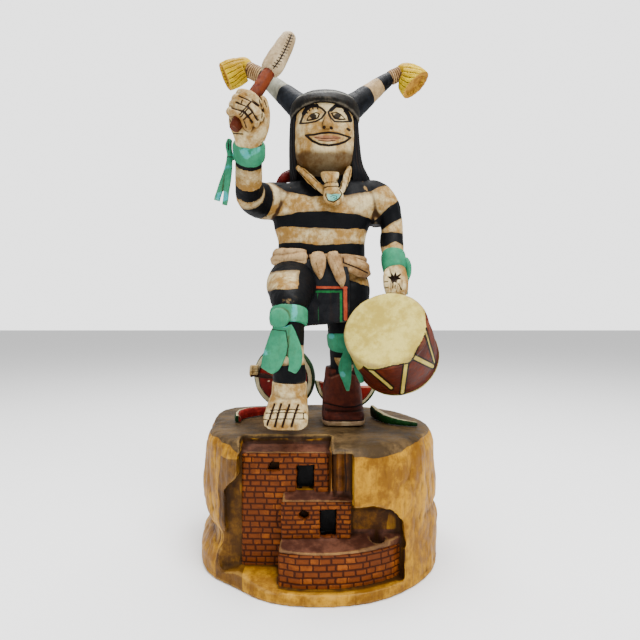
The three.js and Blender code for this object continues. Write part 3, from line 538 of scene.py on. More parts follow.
def finish_named(name, shades):
    """The finish of that name, made once. Shades are the colours set in the panel."""
    if name in FINISHES:
        return FINISHES[name]
    s = shades
    black = (tuple(s.black), (0.0050, 0.0062, 0.0085))
    brown = (0.018, 0.006, 0.004)
    made = {
        "body": lambda: finish("body_paint", s.cream, s.cream_dark, coats=[("ink", *black)], halo=0.9,
                               wear=0.2),
        "skin": lambda: finish("skin_paint", s.cream, s.cream_dark, lines=brown, age=0.75),
        "face": lambda: finish("face_paint", s.cream, s.cream_dark, age=0.7, wear=0.2, coats=[
            ("lip", (0.26, 0.125, 0.065), (0.44, 0.27, 0.16)),
            ("brow", *black)], lines=(0.012, 0.007, 0.006)),
        "black": lambda: finish("black_paint", black[1], black[0], age=0.5, wear=0.08),
        "linen": lambda: finish("linen_paint", (0.49, 0.355, 0.20), (0.27, 0.165, 0.075), lines=brown,
                                age=1.1),
        "turquoise": lambda: finish("turquoise_paint", s.turquoise, (0.042, 0.22, 0.13), age=0.8, coats=[
            ("cyan", (0.05, 0.33, 0.35), (0.12, 0.40, 0.34))], lines=brown, stain=(0.10, 0.12, 0.05)),
    }
    FINISHES[name] = made[name]()
    return FINISHES[name]


def piece(name, points, faces, finish_made, node, fields=(), smooth=4, depth=0.35):
    """One finished piece: its mesh, fields, finish, and what it rides on and stands for."""
    mesh = mesh_of(name, points, faces)
    mesh.polygons.foreach_set("use_smooth", np.ones(len(faces), bool))
    values = {"hollow": recess(points, faces, smooth * 4, depth)}
    fields = dict(fields)
    # A shadow field is painted shadow, added to the hollow field that the finish darkens
    values["hollow"] = values["hollow"] + fields.pop("shadow", 0)
    values.update(fields)
    for key, value in values.items():
        layer = mesh.attributes.new(key, "FLOAT", "POINT")
        layer.data.foreach_set("value", np.asarray(value, np.float32))
    thing = bpy.data.objects.new(name, mesh)
    bpy.context.scene.collection.objects.link(thing)
    mesh.materials.append(finish_made)
    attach(thing, "root")
    if node:
        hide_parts(node)
    return thing


# Base

# Boxes round the flat roofs of the tower, the house and the terrace
ROOF_BOXES = [(-38.6, 4.9, -44.6, -34, 61.2, 66.5), (-19, 15.2, -51.6, -43, 40, 45),
              (-19.6, 39, -62, -46, 20, 26.5)]


def box_depth(points, box):
    """Distance inside a box, below zero outside."""
    x0, x1, y0, y1, z0, z1 = box
    return np.minimum.reduce([points[:, 0] - x0, x1 - points[:, 0], points[:, 1] - y0, y1 - points[:, 1],
                              points[:, 2] - z0, z1 - points[:, 2]])


def make_rock(sizes, shades):
    """The cut root base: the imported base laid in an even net, then cut back along its normals.

    The cuts are shallow knife facets, longer along the height, with fine upright wood fibres.
    """
    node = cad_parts["base"]
    loose = node.data
    points = np.zeros(len(loose.vertices) * 3, np.float32)
    loose.vertices.foreach_get("co", points)
    faces = np.zeros(len(loose.loops), np.int32)
    loose.loops.foreach_get("vertex_index", faces)
    points, spots = np.unique(np.round(points.reshape(-1, 3) * 1000, 4), axis=0, return_inverse=True)
    faces = spots.ravel()[faces].reshape(-1, 3)
    points, faces, normals = surface(3, [(points.astype(float), faces)], sizes.rock_net * 1000)
    side = level(np.abs(normals[:, 2]), 0.85, 0.5)
    lift = level(points[:, 2], 0.8, 2.5)
    cut = side * (1.25 * facets(points, (9, 9, 16), 4) + 0.5 * facets(points, (4.2, 4.2, 8), 9))
    cut += side * 0.16 * (1 + drift(points, (1.3, 1.3, 11), 2))
    cut += (1 - side) * (0.22 * facets(points, (9, 9, 9), 12) + 0.12 * (1 + drift(points, (7, 2, 3), 5)))
    near_walls = level(points[:, 1], -40, -48) * level(np.abs(points[:, 0] + 1), 42, 34)
    cut *= 1 - 0.6 * near_walls
    for spec in WALLS.values():
        by_wall = level(off_lines(points[:, :2], [spec["plan"]]), 1.6, 0.9)
        by_wall *= level(points[:, 2], spec["foot"] - 0.4, spec["foot"] + 0.6)
        by_wall *= level(points[:, 2], spec["top"] + 0.5, spec["top"])
        cut = np.maximum(cut, 1.1 * by_wall * side)
    points = carve(points, normals, cut * lift, sizes)
    points[:, 2] = np.maximum(points[:, 2], 0)
    wander = 1.2 * drift(points, 9, 21)
    ground = points[:, 2] - 67.4 + wander + 2.5 * level(points[:, 1], -35, -60)
    roof = np.maximum.reduce([box_depth(points, b) for b in ROOF_BOXES])
    # Painted shade in the alcove left of the tower
    left = np.minimum.reduce([-36.5 - points[:, 0], points[:, 0] + 54 + 0.3 * np.abs(points[:, 2] - 30),
                              61 - points[:, 2], points[:, 1] + 62, -42 - points[:, 1]]) + wander
    # Painted shade in the undercut right of the house, above the terrace
    undercut_shade = np.minimum.reduce([points[:, 0] - 13, 33 - points[:, 0], 39 - points[:, 2], points[:, 2] - 24,
                                -43 - points[:, 1]]) + wander
    joint = np.minimum.reduce([points[:, 0] - 4.2, 14.5 - points[:, 0], 66 - points[:, 2],
                               points[:, 2] - 42, -41 - points[:, 1]]) + 0.5 * wander
    foot_shade = 12 - np.hypot(points[:, 0] + 13, (points[:, 1] + 44) * 0.9)
    foot_shade = np.where(points[:, 2] > 66, foot_shade, NOWHERE)
    normals = normals_of(points, faces)
    split = drawn(points, normals, [[(345.5, 449), (345, 462), (346.3, 478), (345.6, 492)],
                                    [(332.5, 452), (333, 470), (332.4, 489)], [(352.8, 463), (353.2, 484)],
                                    [(240, 443), (262, 438), (300, 437.5), (331, 439.5)]],
                  0.35)
    rust = (0.22, 0.092, 0.018)
    finish_made = finish(
        "rock_paint", shades.rock, (0.24, 0.12, 0.012), stain=(0.075, 0.030, 0.007), age=1.0, gloss=0.5,
        grain=(1, 1, 0.10), tooth=0.16, wear=0.3, lines=(0.03, 0.012, 0.005), coats=[
            ("ground", (0.075, 0.050, 0.024), (0.165, 0.112, 0.056)),
            # Painted shade: the darker browns of the alcove left of the tower and of the undercut right of
            # the house
            ("left", (0.085, 0.042, 0.010), (0.20, 0.105, 0.020)),
            ("undercut_shade", (0.075, 0.032, 0.006), (0.24, 0.115, 0.015)),
            ("joint", (0.085, 0.034, 0.007), rust),
            ("roof", (0.080, 0.034, 0.022), (0.185, 0.088, 0.056)),
            ("foot_shade", (0.05, 0.028, 0.014), (0.12, 0.07, 0.035)),
        ])
    return piece("rock_base", points, faces, finish_made, "base", {
        "ground": ground, "roof": roof, "left": left, "undercut_shade": undercut_shade, "joint": joint, "line": split,
        "foot_shade": foot_shade - 3 + wander}, depth=0.5)


# Walls: plan of the wall's line, foot, top, course height, brick length and openings
WALLS = {
    "tower_wall": dict(
        plan=[(-38.35, -34), (-38.35, -43.1), (-37.4, -44.15), (3.6, -44.15), (4.55, -43.1), (4.55, -36)],
        foot=6.5, top=62.4, course=2.85, brick=5.0,
        doors=[[(-25.6, 53.8), (-24.6, 57.4), (-23.8, 58.2), (-20.2, 58.0), (-19.9, 54.2)],
               [(-11.6, 44.2), (-11.3, 56.4), (-2.7, 56.7), (-3.1, 44.2)]]),
    "house_wall": dict(
        plan=[(-18.65, -44), (-18.65, -50.1), (-17.7, -51.15), (13.9, -51.15), (14.85, -50.1),
              (14.85, -44)],
        foot=21.6, top=41.0, course=2.25, brick=4.6,
        doors=[[(-10.0, 34.2), (-9.6, 36.6), (-8.4, 37.4), (-6.6, 37.0), (-5.3, 36.2), (-5.4, 33.8),
                (-7.4, 32.5)],
               [(-0.2, 24.6), (0.1, 37.2), (8.0, 37.4), (7.6, 24.8)]]),
    "terrace_wall": dict(
        plan=[(-19.3, -50), (-19.3, -58.2), (-18.6, -59.4), (-10, -61.4), (0, -62.2), (10, -61.4),
              (20, -58.8), (29, -54.9), (35, -51.3), (38.3, -48.2), (38.6, -44)],
        foot=4.6, top=20.4, course=2.95, brick=5.6, doors=[]),
}


def brick_joints(run, high, foot, course, brick, seed):
    """Distance to the nearest joint between bricks laid in running courses.

    Rows wander a little up and down, every second row is set over by half a brick, and each upright
    joint is moved by its own fixed amount.
    """
    flat = np.stack([run, high, 0 * run], 1)
    up = (high - foot + 0.28 * drift(flat, (9, 50, 9), seed)) / course
    row = np.floor(up).astype(np.int64)
    part = up - row
    bed = np.minimum(part, 1 - part) * course
    zero = np.zeros_like(row)
    at = run / brick + 0.5 * (row % 2) + 0.2 * scatter(np.stack([row, zero, zero], 1), seed + 1)
    at = at + 0.05 * drift(flat, (3, 1.5, 3), seed + 2)
    col = np.floor(at).astype(np.int64)
    left = col + 0.2 * scatter(np.stack([col, row, zero], 1), seed + 3)
    right = col + 1 + 0.2 * scatter(np.stack([col + 1, row, zero], 1), seed + 3)
    side = np.minimum(np.abs(at - left), np.abs(right - at)) * brick
    return np.minimum(bed, side), scatter(np.stack([col, row, zero + 7], 1), seed + 4)


def make_wall(name, spec, sizes, shades, seed):
    """A brick wall: a level profile carried along the wall's line.

    Each place on the outside is moved inwards by the carved joints, the knife facets and the
    openings. The inside is a plain face just behind the deepest cut.
    """
    plan = np.array(spec["plan"], float)
    rows = []
    for a, b in zip(plan[:-1], plan[1:]):
        count = max(2, math.ceil(np.linalg.norm(b - a) / sizes.wall_net / 1000))
        rows.append(a + (b - a) * np.linspace(0, 1, count, endpoint=False)[:, None])
    rows.append(plan[-1:])
    line = np.concatenate(rows)
    along = np.gradient(line, axis=0)
    for _ in range(6):
        along[1:-1] = (along[:-2] + along[1:-1] + along[2:]) / 3
    along /= np.linalg.norm(along, axis=1, keepdims=True)
    out = np.stack([along[:, 1], -along[:, 0]], 1)
    run = np.concatenate([[0], np.cumsum(np.linalg.norm(np.diff(line, axis=0), axis=1))])
    high = np.arange(spec["foot"], spec["top"] + 0.01, sizes.wall_net * 1000)
    r, h = np.meshgrid(run, high, indexing="ij")
    x = np.repeat(line[:, :1], len(high), 1)
    y = np.repeat(line[:, 1:], len(high), 1)
    flat = np.stack([x.ravel(), y.ravel(), h.ravel()], 1)
    gap, each = brick_joints(r.ravel(), h.ravel(), spec["foot"], spec["course"], spec["brick"], seed)
    cut = 0.32 * level(gap, 0.42, 0.05) + 0.12 * facets(flat, (3.4, 3.4, 3.4), seed) + 0.06 * each
    edge = np.minimum(h.ravel() - spec["foot"], spec["top"] - h.ravel())
    cut += 0.5 * level(edge, 0.7, 0.0)
    door = np.full(len(flat), NOWHERE)
    ragged = flat + 0.35 * np.stack([drift(flat, 1.6, seed + k) for k in (5, 6, 7)], 1)
    for outline in spec["doors"]:
        inside = within(ragged[:, [0, 2]], outline)
        door = np.maximum(door, np.where(flat[:, 1] < plan[:, 1].min() + 1.5, inside, NOWHERE))
    cut = np.where(door > -0.3, np.maximum(cut, 6.2 * level(door, -0.25, 0.25)), cut)
    front = flat - np.repeat(np.column_stack([out, np.zeros(len(out))]), len(high), 0) * cut[:, None]
    front = front.reshape(len(run), len(high), 3)
    deep = cut.reshape(len(run), len(high)).max(1)
    back = line - out * (np.maximum(deep, 1.3) + 0.7)[:, None]
    low = np.column_stack([back, np.full(len(back), spec["foot"])])[:, None]
    top = np.column_stack([back, np.full(len(back), spec["top"])])[:, None]
    rings = np.concatenate([front, top, low], 1)
    points, faces = skin(rings)
    around = len(high) + 2

    def field(values, fill):
        """Values of the front face as a field of the whole wall, with the fill everywhere else."""
        grid = np.full((len(run), around), fill, float)
        grid[:, :len(high)] = values.reshape(len(run), len(high))
        return np.concatenate([grid.ravel(), [fill, fill]])

    finish_made = finish(
        name + "_paint", shades.brick, (0.155, 0.050, 0.011), stain=(0.070, 0.020, 0.006), age=0.9,
        gloss=0.5, grain=(0.35, 1, 1), tooth=0.10, wear=0.25, lines=(0.095, 0.027, 0.010),
        coats=[("odd", (0.17, 0.055, 0.011), (0.30, 0.105, 0.018)),
               ("door", (0.002, 0.002, 0.002), (0.004, 0.003, 0.003))])
    hollow = np.where(door > -0.2, 0, 0.75 * level(gap, 0.75, 0.15))
    fields = {"line": field(np.where(door > -0.3, -9, 0.27 - gap), NOWHERE),
              "door": field(door * 4, NOWHERE), "odd": field(each - 0.45, NOWHERE),
              "hollow": field(hollow, 0)}
    return piece(name, points, faces, finish_made, None, fields)


# Figure

TORSO = [
    [143, 0.5, 0, 18, 12], [148, 0.3, 0, 24, 15], [154, 0.4, 0, 25.6, 16.6], [162, 0.8, 0, 25.2, 17],
    [172, 0.9, 0, 25.1, 17.2], [180, 0.9, 0, 27.1, 17.4], [187, 1.8, 0, 29.2, 17.2],
    [194, 3.6, 0.5, 31.4, 16.2], [200, 5, 1, 32, 14.2], [205, 5.4, 1.5, 26.5, 12],
    [209, 4.5, 2, 17, 10.6], [214, 3, 0, 11, 9.6], [221, 3, -1, 10, 9],
]
ARM_RAISED = [
    [-18, 0, 195, 11, 11], [-26, -2, 195.4, 10.6, 10.8], [-33, -8, 194.5, 9.9, 10.2],
    [-37.2, -16, 195.2, 8.4, 8.9], [-37.4, -25, 199.4, 7.3, 7.2], [-36.2, -34, 204.6, 7, 6.7],
    [-35, -42, 210.4, 6.6, 6.3], [-34.5, -46.5, 215, 6.9, 6.6], [-34, -49, 219.5, 9.2, 7.4],
    [-33.9, -50, 224, 9.6, 7], [-33.8, -50, 228.5, 8.2, 6], [-34.4, -50, 232.5, 5.4, 4.2],
    [-35, -50, 234.2, 2.6, 2.2],
]
ARM_LOWERED = [
    [25, 0, 198, 10, 10], [31, 0, 197.6, 10.2, 10], [37, -0.6, 192.5, 8.8, 9.2],
    [39.8, -1.4, 186, 7.2, 7.8], [40.9, -2.6, 180, 6.4, 6.8], [40.5, -4.6, 173.6, 6.7, 6.7],
    [40.3, -7.6, 167.4, 6.6, 6.5], [40.7, -11, 161, 5.7, 5.9], [41, -13.8, 155.4, 5.8, 5.6],
    [41.2, -15.8, 149.6, 6.6, 5.6], [41.2, -17.6, 144, 6.4, 5], [40.9, -18.6, 140.6, 5, 3.8],
]
THIGH_RAISED = [
    [-11, 4, 150, 12.4, 12.4], [-14, -6, 150.2, 14, 12.9], [-15.1, -20, 146.2, 13.8, 11.9],
    [-15, -32, 140.4, 11.2, 10], [-15.2, -40, 136.6, 9.4, 8.4], [-15.2, -46, 133.6, 7, 6.6],
    [-15.2, -49.6, 132, 3.2, 3.4],
]
SHIN_RAISED = [
    [-15.2, -46, 134, 6.6, 6], [-15.2, -46, 128, 7.9, 7.8], [-15.2, -45.2, 119, 7.6, 7.8],
    [-15, -43.6, 110, 7.4, 7.4], [-15, -42.4, 103, 8.1, 7.4], [-15, -41.4, 97.6, 8.3, 7.8],
    [-15.2, -41, 91, 8.8, 9], [-15.6, -40.6, 84, 8.6, 9.4],
]
LEG_STANDING = [
    [12, 3, 153, 13, 12], [13.8, 0, 147, 14.6, 12.8], [14.4, -3, 137, 13.6, 11.8],
    [13.8, -6, 127, 10.4, 10.2], [13.2, -7.6, 118.6, 8.8, 9], [13, -6, 110, 7.8, 8.2],
    [12.6, -3, 102, 7, 7.4], [12.6, -1, 90, 8, 8.4],
]


def body_ink(points):
    """Where the body is black: above zero in the black bands, in millimetres from their edges.

    Each limb and the trunk has bands of its own, by height or by the way along the limb. A place
    belongs to the part whose surface is nearest.
    """
    x, y, z = points.T
    wander = 0.5 * drift(points, 6, 31) + 0.25 * drift(points, 2.2, 32)
    rows = through(TORSO, 1.0)
    mid_x, mid_y, half_x, half_y = (np.interp(z, rows[:, 0], rows[:, k]) for k in (1, 2, 3, 4))
    trunk = (np.sqrt(((x - mid_x) / half_x) ** 2 + ((y - mid_y) / half_y) ** 2) - 1) * half_y
    raised, raised_at = beside(points, ARM_RAISED[:8])
    lowered, _ = beside(points, ARM_LOWERED[:9])
    thigh, _ = beside(points, THIGH_RAISED)
    shin, _ = beside(points, SHIN_RAISED)
    leg, _ = beside(points, LEG_STANDING)
    parts = np.stack([trunk, raised, lowered, thigh, shin, leg])

    front = level(y, 6, -6)
    yoke_low = np.interp(x, [-30, -24, -19.6, -4.9, 17.4, 28, 36, 44],
                         [206, 202.5, 199.7, 195.3, 196.3, 199, 203.5, 206])
    yoke_low = front * yoke_low + (1 - front) * 196.5
    yoke = z - yoke_low
    chest_top = np.interp(x, [-28, -23.8, 3.8, 22.2, 29, 34], [184.4, 185.6, 186.7, 185.4, 184.4, 187])
    chest_low = np.interp(x, [-25, 0, 12, 25, 34], [179.4, 177.4, 177.4, 178, 176])
    waist = np.interp(x, [-24, 3, 25], [170.8, 168.4, 170.2])
    trunk_ink = np.maximum.reduce([yoke, np.minimum(chest_top - z, z - chest_low), waist - z])
    bands = np.maximum(np.minimum(raised_at - 16.8, 26.0 - raised_at),
                       np.minimum(raised_at - 29.9, 38.2 - raised_at))
    bands = np.maximum(bands, raised_at - 50.6)
    raised_ink = np.maximum(bands, np.where(raised_at < 14, yoke, NOWHERE))
    high = 184.5 + 0.85 * (x - 31.5)
    low = 179.4 + 0.57 * (x - 36)
    notch = 168.6 + 2.6 * np.maximum(0, 1 - np.abs(x - 41.5) / 5)
    lowered_ink = np.maximum.reduce([np.minimum(high - z, z - low), np.minimum(176.4 - z, z - notch), yoke])
    window = np.minimum.reduce([z - 142.6, 153.4 - z, -10.4 - x])
    thigh_ink = -window
    shin_ink = np.maximum(z - 115.6, np.minimum(105.8 - z, z - 90))
    patch = np.minimum.reduce([154.4 - 0.36 * (x - 16.7) - z, z - 149.2 + 0.25 * (x - 17), x - 16.2])
    leg_ink = np.maximum(np.minimum(z - 107.4, -patch), NOWHERE)
    inks = [trunk_ink, raised_ink, lowered_ink, thigh_ink, shin_ink, leg_ink]
    ink = np.full(len(points), NOWHERE)
    for n, own in enumerate(inks):
        others = np.min(np.delete(parts, n, 0), 0)
        ink = np.maximum(ink, np.minimum(own, others - parts[n] + 0.01))
    return np.clip(ink, -9, 9) + wander


def make_body(sizes, shades):
    """Trunk, arms and legs as one skin, with knife facets along the limbs, and the black bands."""
    shells = [stack(TORSO, power=2.3), limb(ARM_RAISED[:8], power=2.1), limb(ARM_LOWERED[:9]),
              limb(THIGH_RAISED), limb(SHIN_RAISED[:6] + [[-15, -41.3, 97.2, 7.4, 7]]), limb(LEG_STANDING),
              limb([[28, 1, 192, 6, 6], [32.4, 0.4, 185.6, 5, 5.6], [32.4, 0, 181.8, 3.6, 4.6]])]
    points, faces, normals = surface(6, shells, sizes.body_net * 1000)
    cut = 0.42 * facets(points, (7, 7, 9), 3) + 0.1 * (1 + drift(points, (2.2, 2.2, 5), 8))
    points = carve(points, normals, cut, sizes)
    ink = body_ink(points)
    points = points + normals * (PAINT_THICKNESS * level(ink, -0.2, 0.3))[:, None]
    return piece("body", points, faces, finish_named("body", shades), "figure", {"ink": ink})


# Head

HEAD_LEVELS = [
    [207.6, HEAD_X, -0.5, 9, 8], [210, HEAD_X, -2.6, 11.8, 11.2], [213, HEAD_X, -3.8, 14.4, 14],
    [217, HEAD_X - 0.2, HEAD_Y, 16.2, 15.6], [223, HEAD_X - 0.2, HEAD_Y, 16.9, 16.1],
    [230, HEAD_X - 0.2, HEAD_Y, 17, 16.1], [238, HEAD_X - 0.2, HEAD_Y, 16.8, 15.8],
    [245, HEAD_X, HEAD_Y, 16, 15],
]
NOSE = [[3.9, -19.4, 239, 1, 0.8], [3.9, -20.2, 235, 1.6, 1.4], [3.9, -21.1, 232.4, 2.5, 1.9],
        [3.9, -20.0, 230.4, 2.2, 1.2]]
EYE_LEFT = [(299.7, 123.3), (308, 122.6), (315.5, 121.2), (321.5, 118), (325.7, 112), (322, 108.2),
            (317.6, 106), (312, 105.6), (307, 107.2), (303.6, 112.6), (301.6, 118.4)]
EYE_RIGHT = [(328.3, 112), (331, 108.6), (336, 106), (343, 107), (347.4, 112.4), (350.7, 121.2),
             (343, 121.6), (335, 121.2), (331, 117.4)]
LID_LEFT = [(306.2, 119.9), (307.8, 116.8), (311, 113.6), (316, 112.2), (319.2, 113.4), (317.6, 117.4),
            (312.4, 119.0), (306.2, 119.9)]
LID_RIGHT = [(331.8, 112.6), (337.4, 112.0), (341.6, 114.4), (346, 118.8), (339.6, 118.8), (334.4, 117.4),
             (331.8, 112.6)]
MOUTH = [(305.6, 135.2), (314, 134.6), (321, 133.2), (328.8, 132.4), (338, 133.4), (345, 135.6),
         (350.9, 137.6), (345.4, 141.6), (338, 144.2), (328.8, 145.3), (320, 144.4), (312.4, 141.0)]
LIPS = [(313, 137.2), (320, 135.3), (328, 135.6), (336, 136), (341.4, 138), (335, 141.4), (327, 142),
        (319, 140.6)]


def make_face(sizes, shades):
    """The head: a rounded block with a small nose, lifted lids and lips, and cut and painted lines."""
    shells = [stack(HEAD_LEVELS, power=2.35, spacing=0.5), limb(NOSE, side=(1, 0, 0), spacing=0.4)]
    points, faces, normals = surface(8, shells, sizes.face_net * 1000)
    places, scale = on_sheet(points)
    front = level(normals[:, 1], -0.1, -0.5)
    lift = 0.45 * level(within(places, MOUTH) * scale, 0.0, 1.1)
    lift -= 0.5 * level(within(places, EYE_LEFT) * scale, 0.0, 1.2)
    lift -= 0.5 * level(within(places, EYE_RIGHT) * scale, 0.0, 1.2)
    lift += 0.45 * level(within(places, LID_LEFT) * scale, -0.3, 0.7)
    lift += 0.45 * level(within(places, LID_RIGHT) * scale, -0.3, 0.7)
    lines = drawn(points, normals, [EYE_LEFT + EYE_LEFT[:1], EYE_RIGHT + EYE_RIGHT[:1]], 0.52)
    brows = drawn(points, normals, [
        [(303.2, 113.6), (306.2, 108.4), (311, 105.4), (317, 105.4)],
        [(331, 109.6), (336, 105.4), (342.6, 106)], [(345.6, 109.6), (349, 115), (350.8, 120.6)]], 0.95)
    ticks = drawn(points, normals, [[(303.6, 110.6), (306.8, 112.4)], [(306.2, 106.6), (309.4, 110)],
                                    [(310.6, 103.8), (312.8, 108.4)], [(316.2, 103.8), (317.6, 108.2)],
                                    [(347, 108.6), (344.6, 111.2)]], 0.4)
    lines = np.maximum(lines, drawn(points, normals, [MOUTH + MOUTH[:1]], 0.62))
    lines = np.maximum(lines, drawn(points, normals, [LID_LEFT, LID_RIGHT], 0.32))
    pupils = np.where(normals[:, 1] < -0.2, 1.0 - np.minimum(
        np.hypot((places[:, 0] - 313) / 3.4, (places[:, 1] - 115.9) / 2.5),
        np.hypot((places[:, 0] - 337.6) / 3.4, (places[:, 1] - 115.5) / 2.5)), NOWHERE)
    nostrils = drawn(points, normals, [[(324, 127.2), (324.3, 127.6)], [(331.2, 127.8), (331.6, 128.1)]],
                     0.8)
    chip = drawn(points, normals, [[(347.6, 128.8), (349.6, 130.0)]], 0.7)
    inner = drawn(points, normals, [[(315, 137.6), (322, 138.6), (331, 138.4), (340, 138.2)],
                                    [(318.6, 140.6), (327, 141.4), (335, 140.6)]], 0.2)
    dark = np.maximum.reduce([lines, ticks, nostrils, chip, inner, pupils * 1.2])
    lift -= 0.22 * level(np.maximum(lines, nostrils), -0.35, 0.2)
    points = points + normals * (front * lift)[:, None]
    cut = 0.16 * facets(points, (6, 6, 6), 41) + 0.05 * (1 + drift(points, (2, 2, 3), 42))
    points = carve(points, normals, cut, sizes)
    lip = np.where(normals[:, 1] < -0.2, within(places, LIPS) * scale, NOWHERE)
    return piece("face", points, faces, finish_named("face", shades), "figure", {
        "line": dark, "lip": lip, "brow": np.maximum(brows, NOWHERE),
        "shadow": 1.5 * level(places[:, 1] + 2 * drift(points, 3, 43), 146, 161)}, smooth=6, depth=0.22)


HAIR_LEVELS = [
    [178, 3, 18.5, 12, 3.5], [184, 3.4, 16.5, 16.5, 6], [192, 4.4, 12.5, 20, 9.5],
    [199, 6.4, 7.6, 23, 12.2], [204, 6.6, 4.6, 23.8, 14.4], [209, 5.8, 2.8, 23.2, 15.8],
    [216, 3.6, 2, 21.6, 16.6], [225, 2.7, 1.6, 20.8, 17.2], [238, 2.4, 1.2, 20, 17.4],
    [246, 2.6, 0, 19.4, 17.4],
]


def make_hair(sizes, shades):
    """Hair: level sections parted over the face, with strands cut down it."""
    points, faces, normals = surface(5, [stack(HAIR_LEVELS, power=2.2)], 0.62,
                                     [block(-13, 17.9, -40, -2, 170, 242)])
    angle = np.arctan2(points[:, 1], points[:, 0] - HEAD_X)
    bend = angle + 0.05 * drift(points, (9, 9, 14), 51)
    strands = 0.5 + 0.5 * np.cos(bend * 46)
    cut = 0.34 * strands ** 2 + 0.3 * facets(points, (4, 4, 22), 52)
    points = carve(points, normals, cut, sizes)
    return piece("hair", points, faces, finish_named("black", shades), "figure")


def make_cap(sizes, shades):
    """The cap: rounded level sections, whose lower rim rises over the brow."""
    rows = through([[240.8, 17.6, 16.6], [241.2, 19.6, 18.8], [244.5, 20.1, 19.5], [248, 19.5, 18.8],
                    [251.6, 17, 16.2], [254.3, 12.8, 12], [256.2, 7.4, 7], [256.8, 2, 2]], 0.6)
    c, s = section(96, 2.15)
    z, a, b = rows.T[:, :, None]
    front = np.maximum(0, -s) ** 3
    lift = (4.4 * front + 0.8 * np.maximum(0, -c) - 0.8) * level(z, 248, 242)
    shell = skin(np.stack([HEAD_X + a * c, -2 + b * s, z + lift], 2))
    points, faces, normals = surface(4, [shell], 0.6)
    cut = 0.3 * facets(points, (6, 6, 6), 61) + 0.06 * (1 + drift(points, 2.4, 62))
    points = carve(points, normals, cut, sizes)
    # A lighter grey band round the cap's upper rim, near 250.8 mm high: a painted highlight
    rim = 0.5 - np.abs(points[:, 2] - 250.8 + 0.7 * drift(points, 7, 63)) * 0.8
    return piece("cap", points, faces, finish(
        "cap_paint", (0.034, 0.031, 0.026), (0.010, 0.009, 0.008), age=0.7, wear=0.8,
        coats=[("edge", (0.10, 0.10, 0.09), (0.24, 0.23, 0.20))]), "figure", {"edge": rim})


# Neck

SCARF = [[-26.4, 5.2, 203.4, 1.2, 1.4], [-21.5, 6, 210.5, 2.4, 3], [-14, 12, 214.5, 3.4, 4.6],
         [3, 17.6, 214.5, 3.8, 5], [19, 12.5, 214.3, 3.4, 4.6], [25.2, 7, 211.4, 2.4, 3],
         [29.5, 6, 206, 1.2, 1.4]]
KERCHIEF_RIGHT = [[-12.6, -9.5, 212.6, 1.4, 1.4], [-9, -13.4, 208.6, 2.2, 1.7],
                  [-4, -16.4, 202.8, 2.4, 1.8], [1.8, -17.6, 197.6, 2, 1.7], [4, -17.4, 195.6, 1.2, 1.4]]
KERCHIEF_LEFT = [[16.4, -9.5, 212.4, 1.4, 1.4], [15.4, -13.4, 208.4, 2.2, 1.7],
                 [13.6, -16.2, 202.6, 2.2, 1.8], [11.6, -17.4, 197.4, 1.8, 1.6],
                 [10.6, -17.2, 195.6, 1.2, 1.4]]
SLIDE = [[5.3, -19.6, 207.2, 4.2, 1.2], [5.3, -19.6, 206.6, 5, 2.0], [5.5, -20, 203.4, 4.4, 2.4],
         [5.7, -20, 201.2, 3.1, 2.6], [5.9, -20, 200.4, 3.9, 2.9], [5.9, -20, 199.2, 4.1, 3],
         [6.0, -20, 198.6, 3.5, 2.8], [6.1, -20, 197.8, 4.2, 3.1], [6.2, -20, 196.4, 4.3, 3.1],
         [6.4, -20, 195, 3.6, 2.8]]
PENDANT = [[7.1, -22.0, 194, 3.6, 3.4], [7.1, -21.7, 194, 4.4, 4.2], [7.1, -20.9, 194, 5.3, 5],
           [7.1, -18, 194, 5.3, 5], [7.1, -15.6, 194, 4.6, 4.4]]


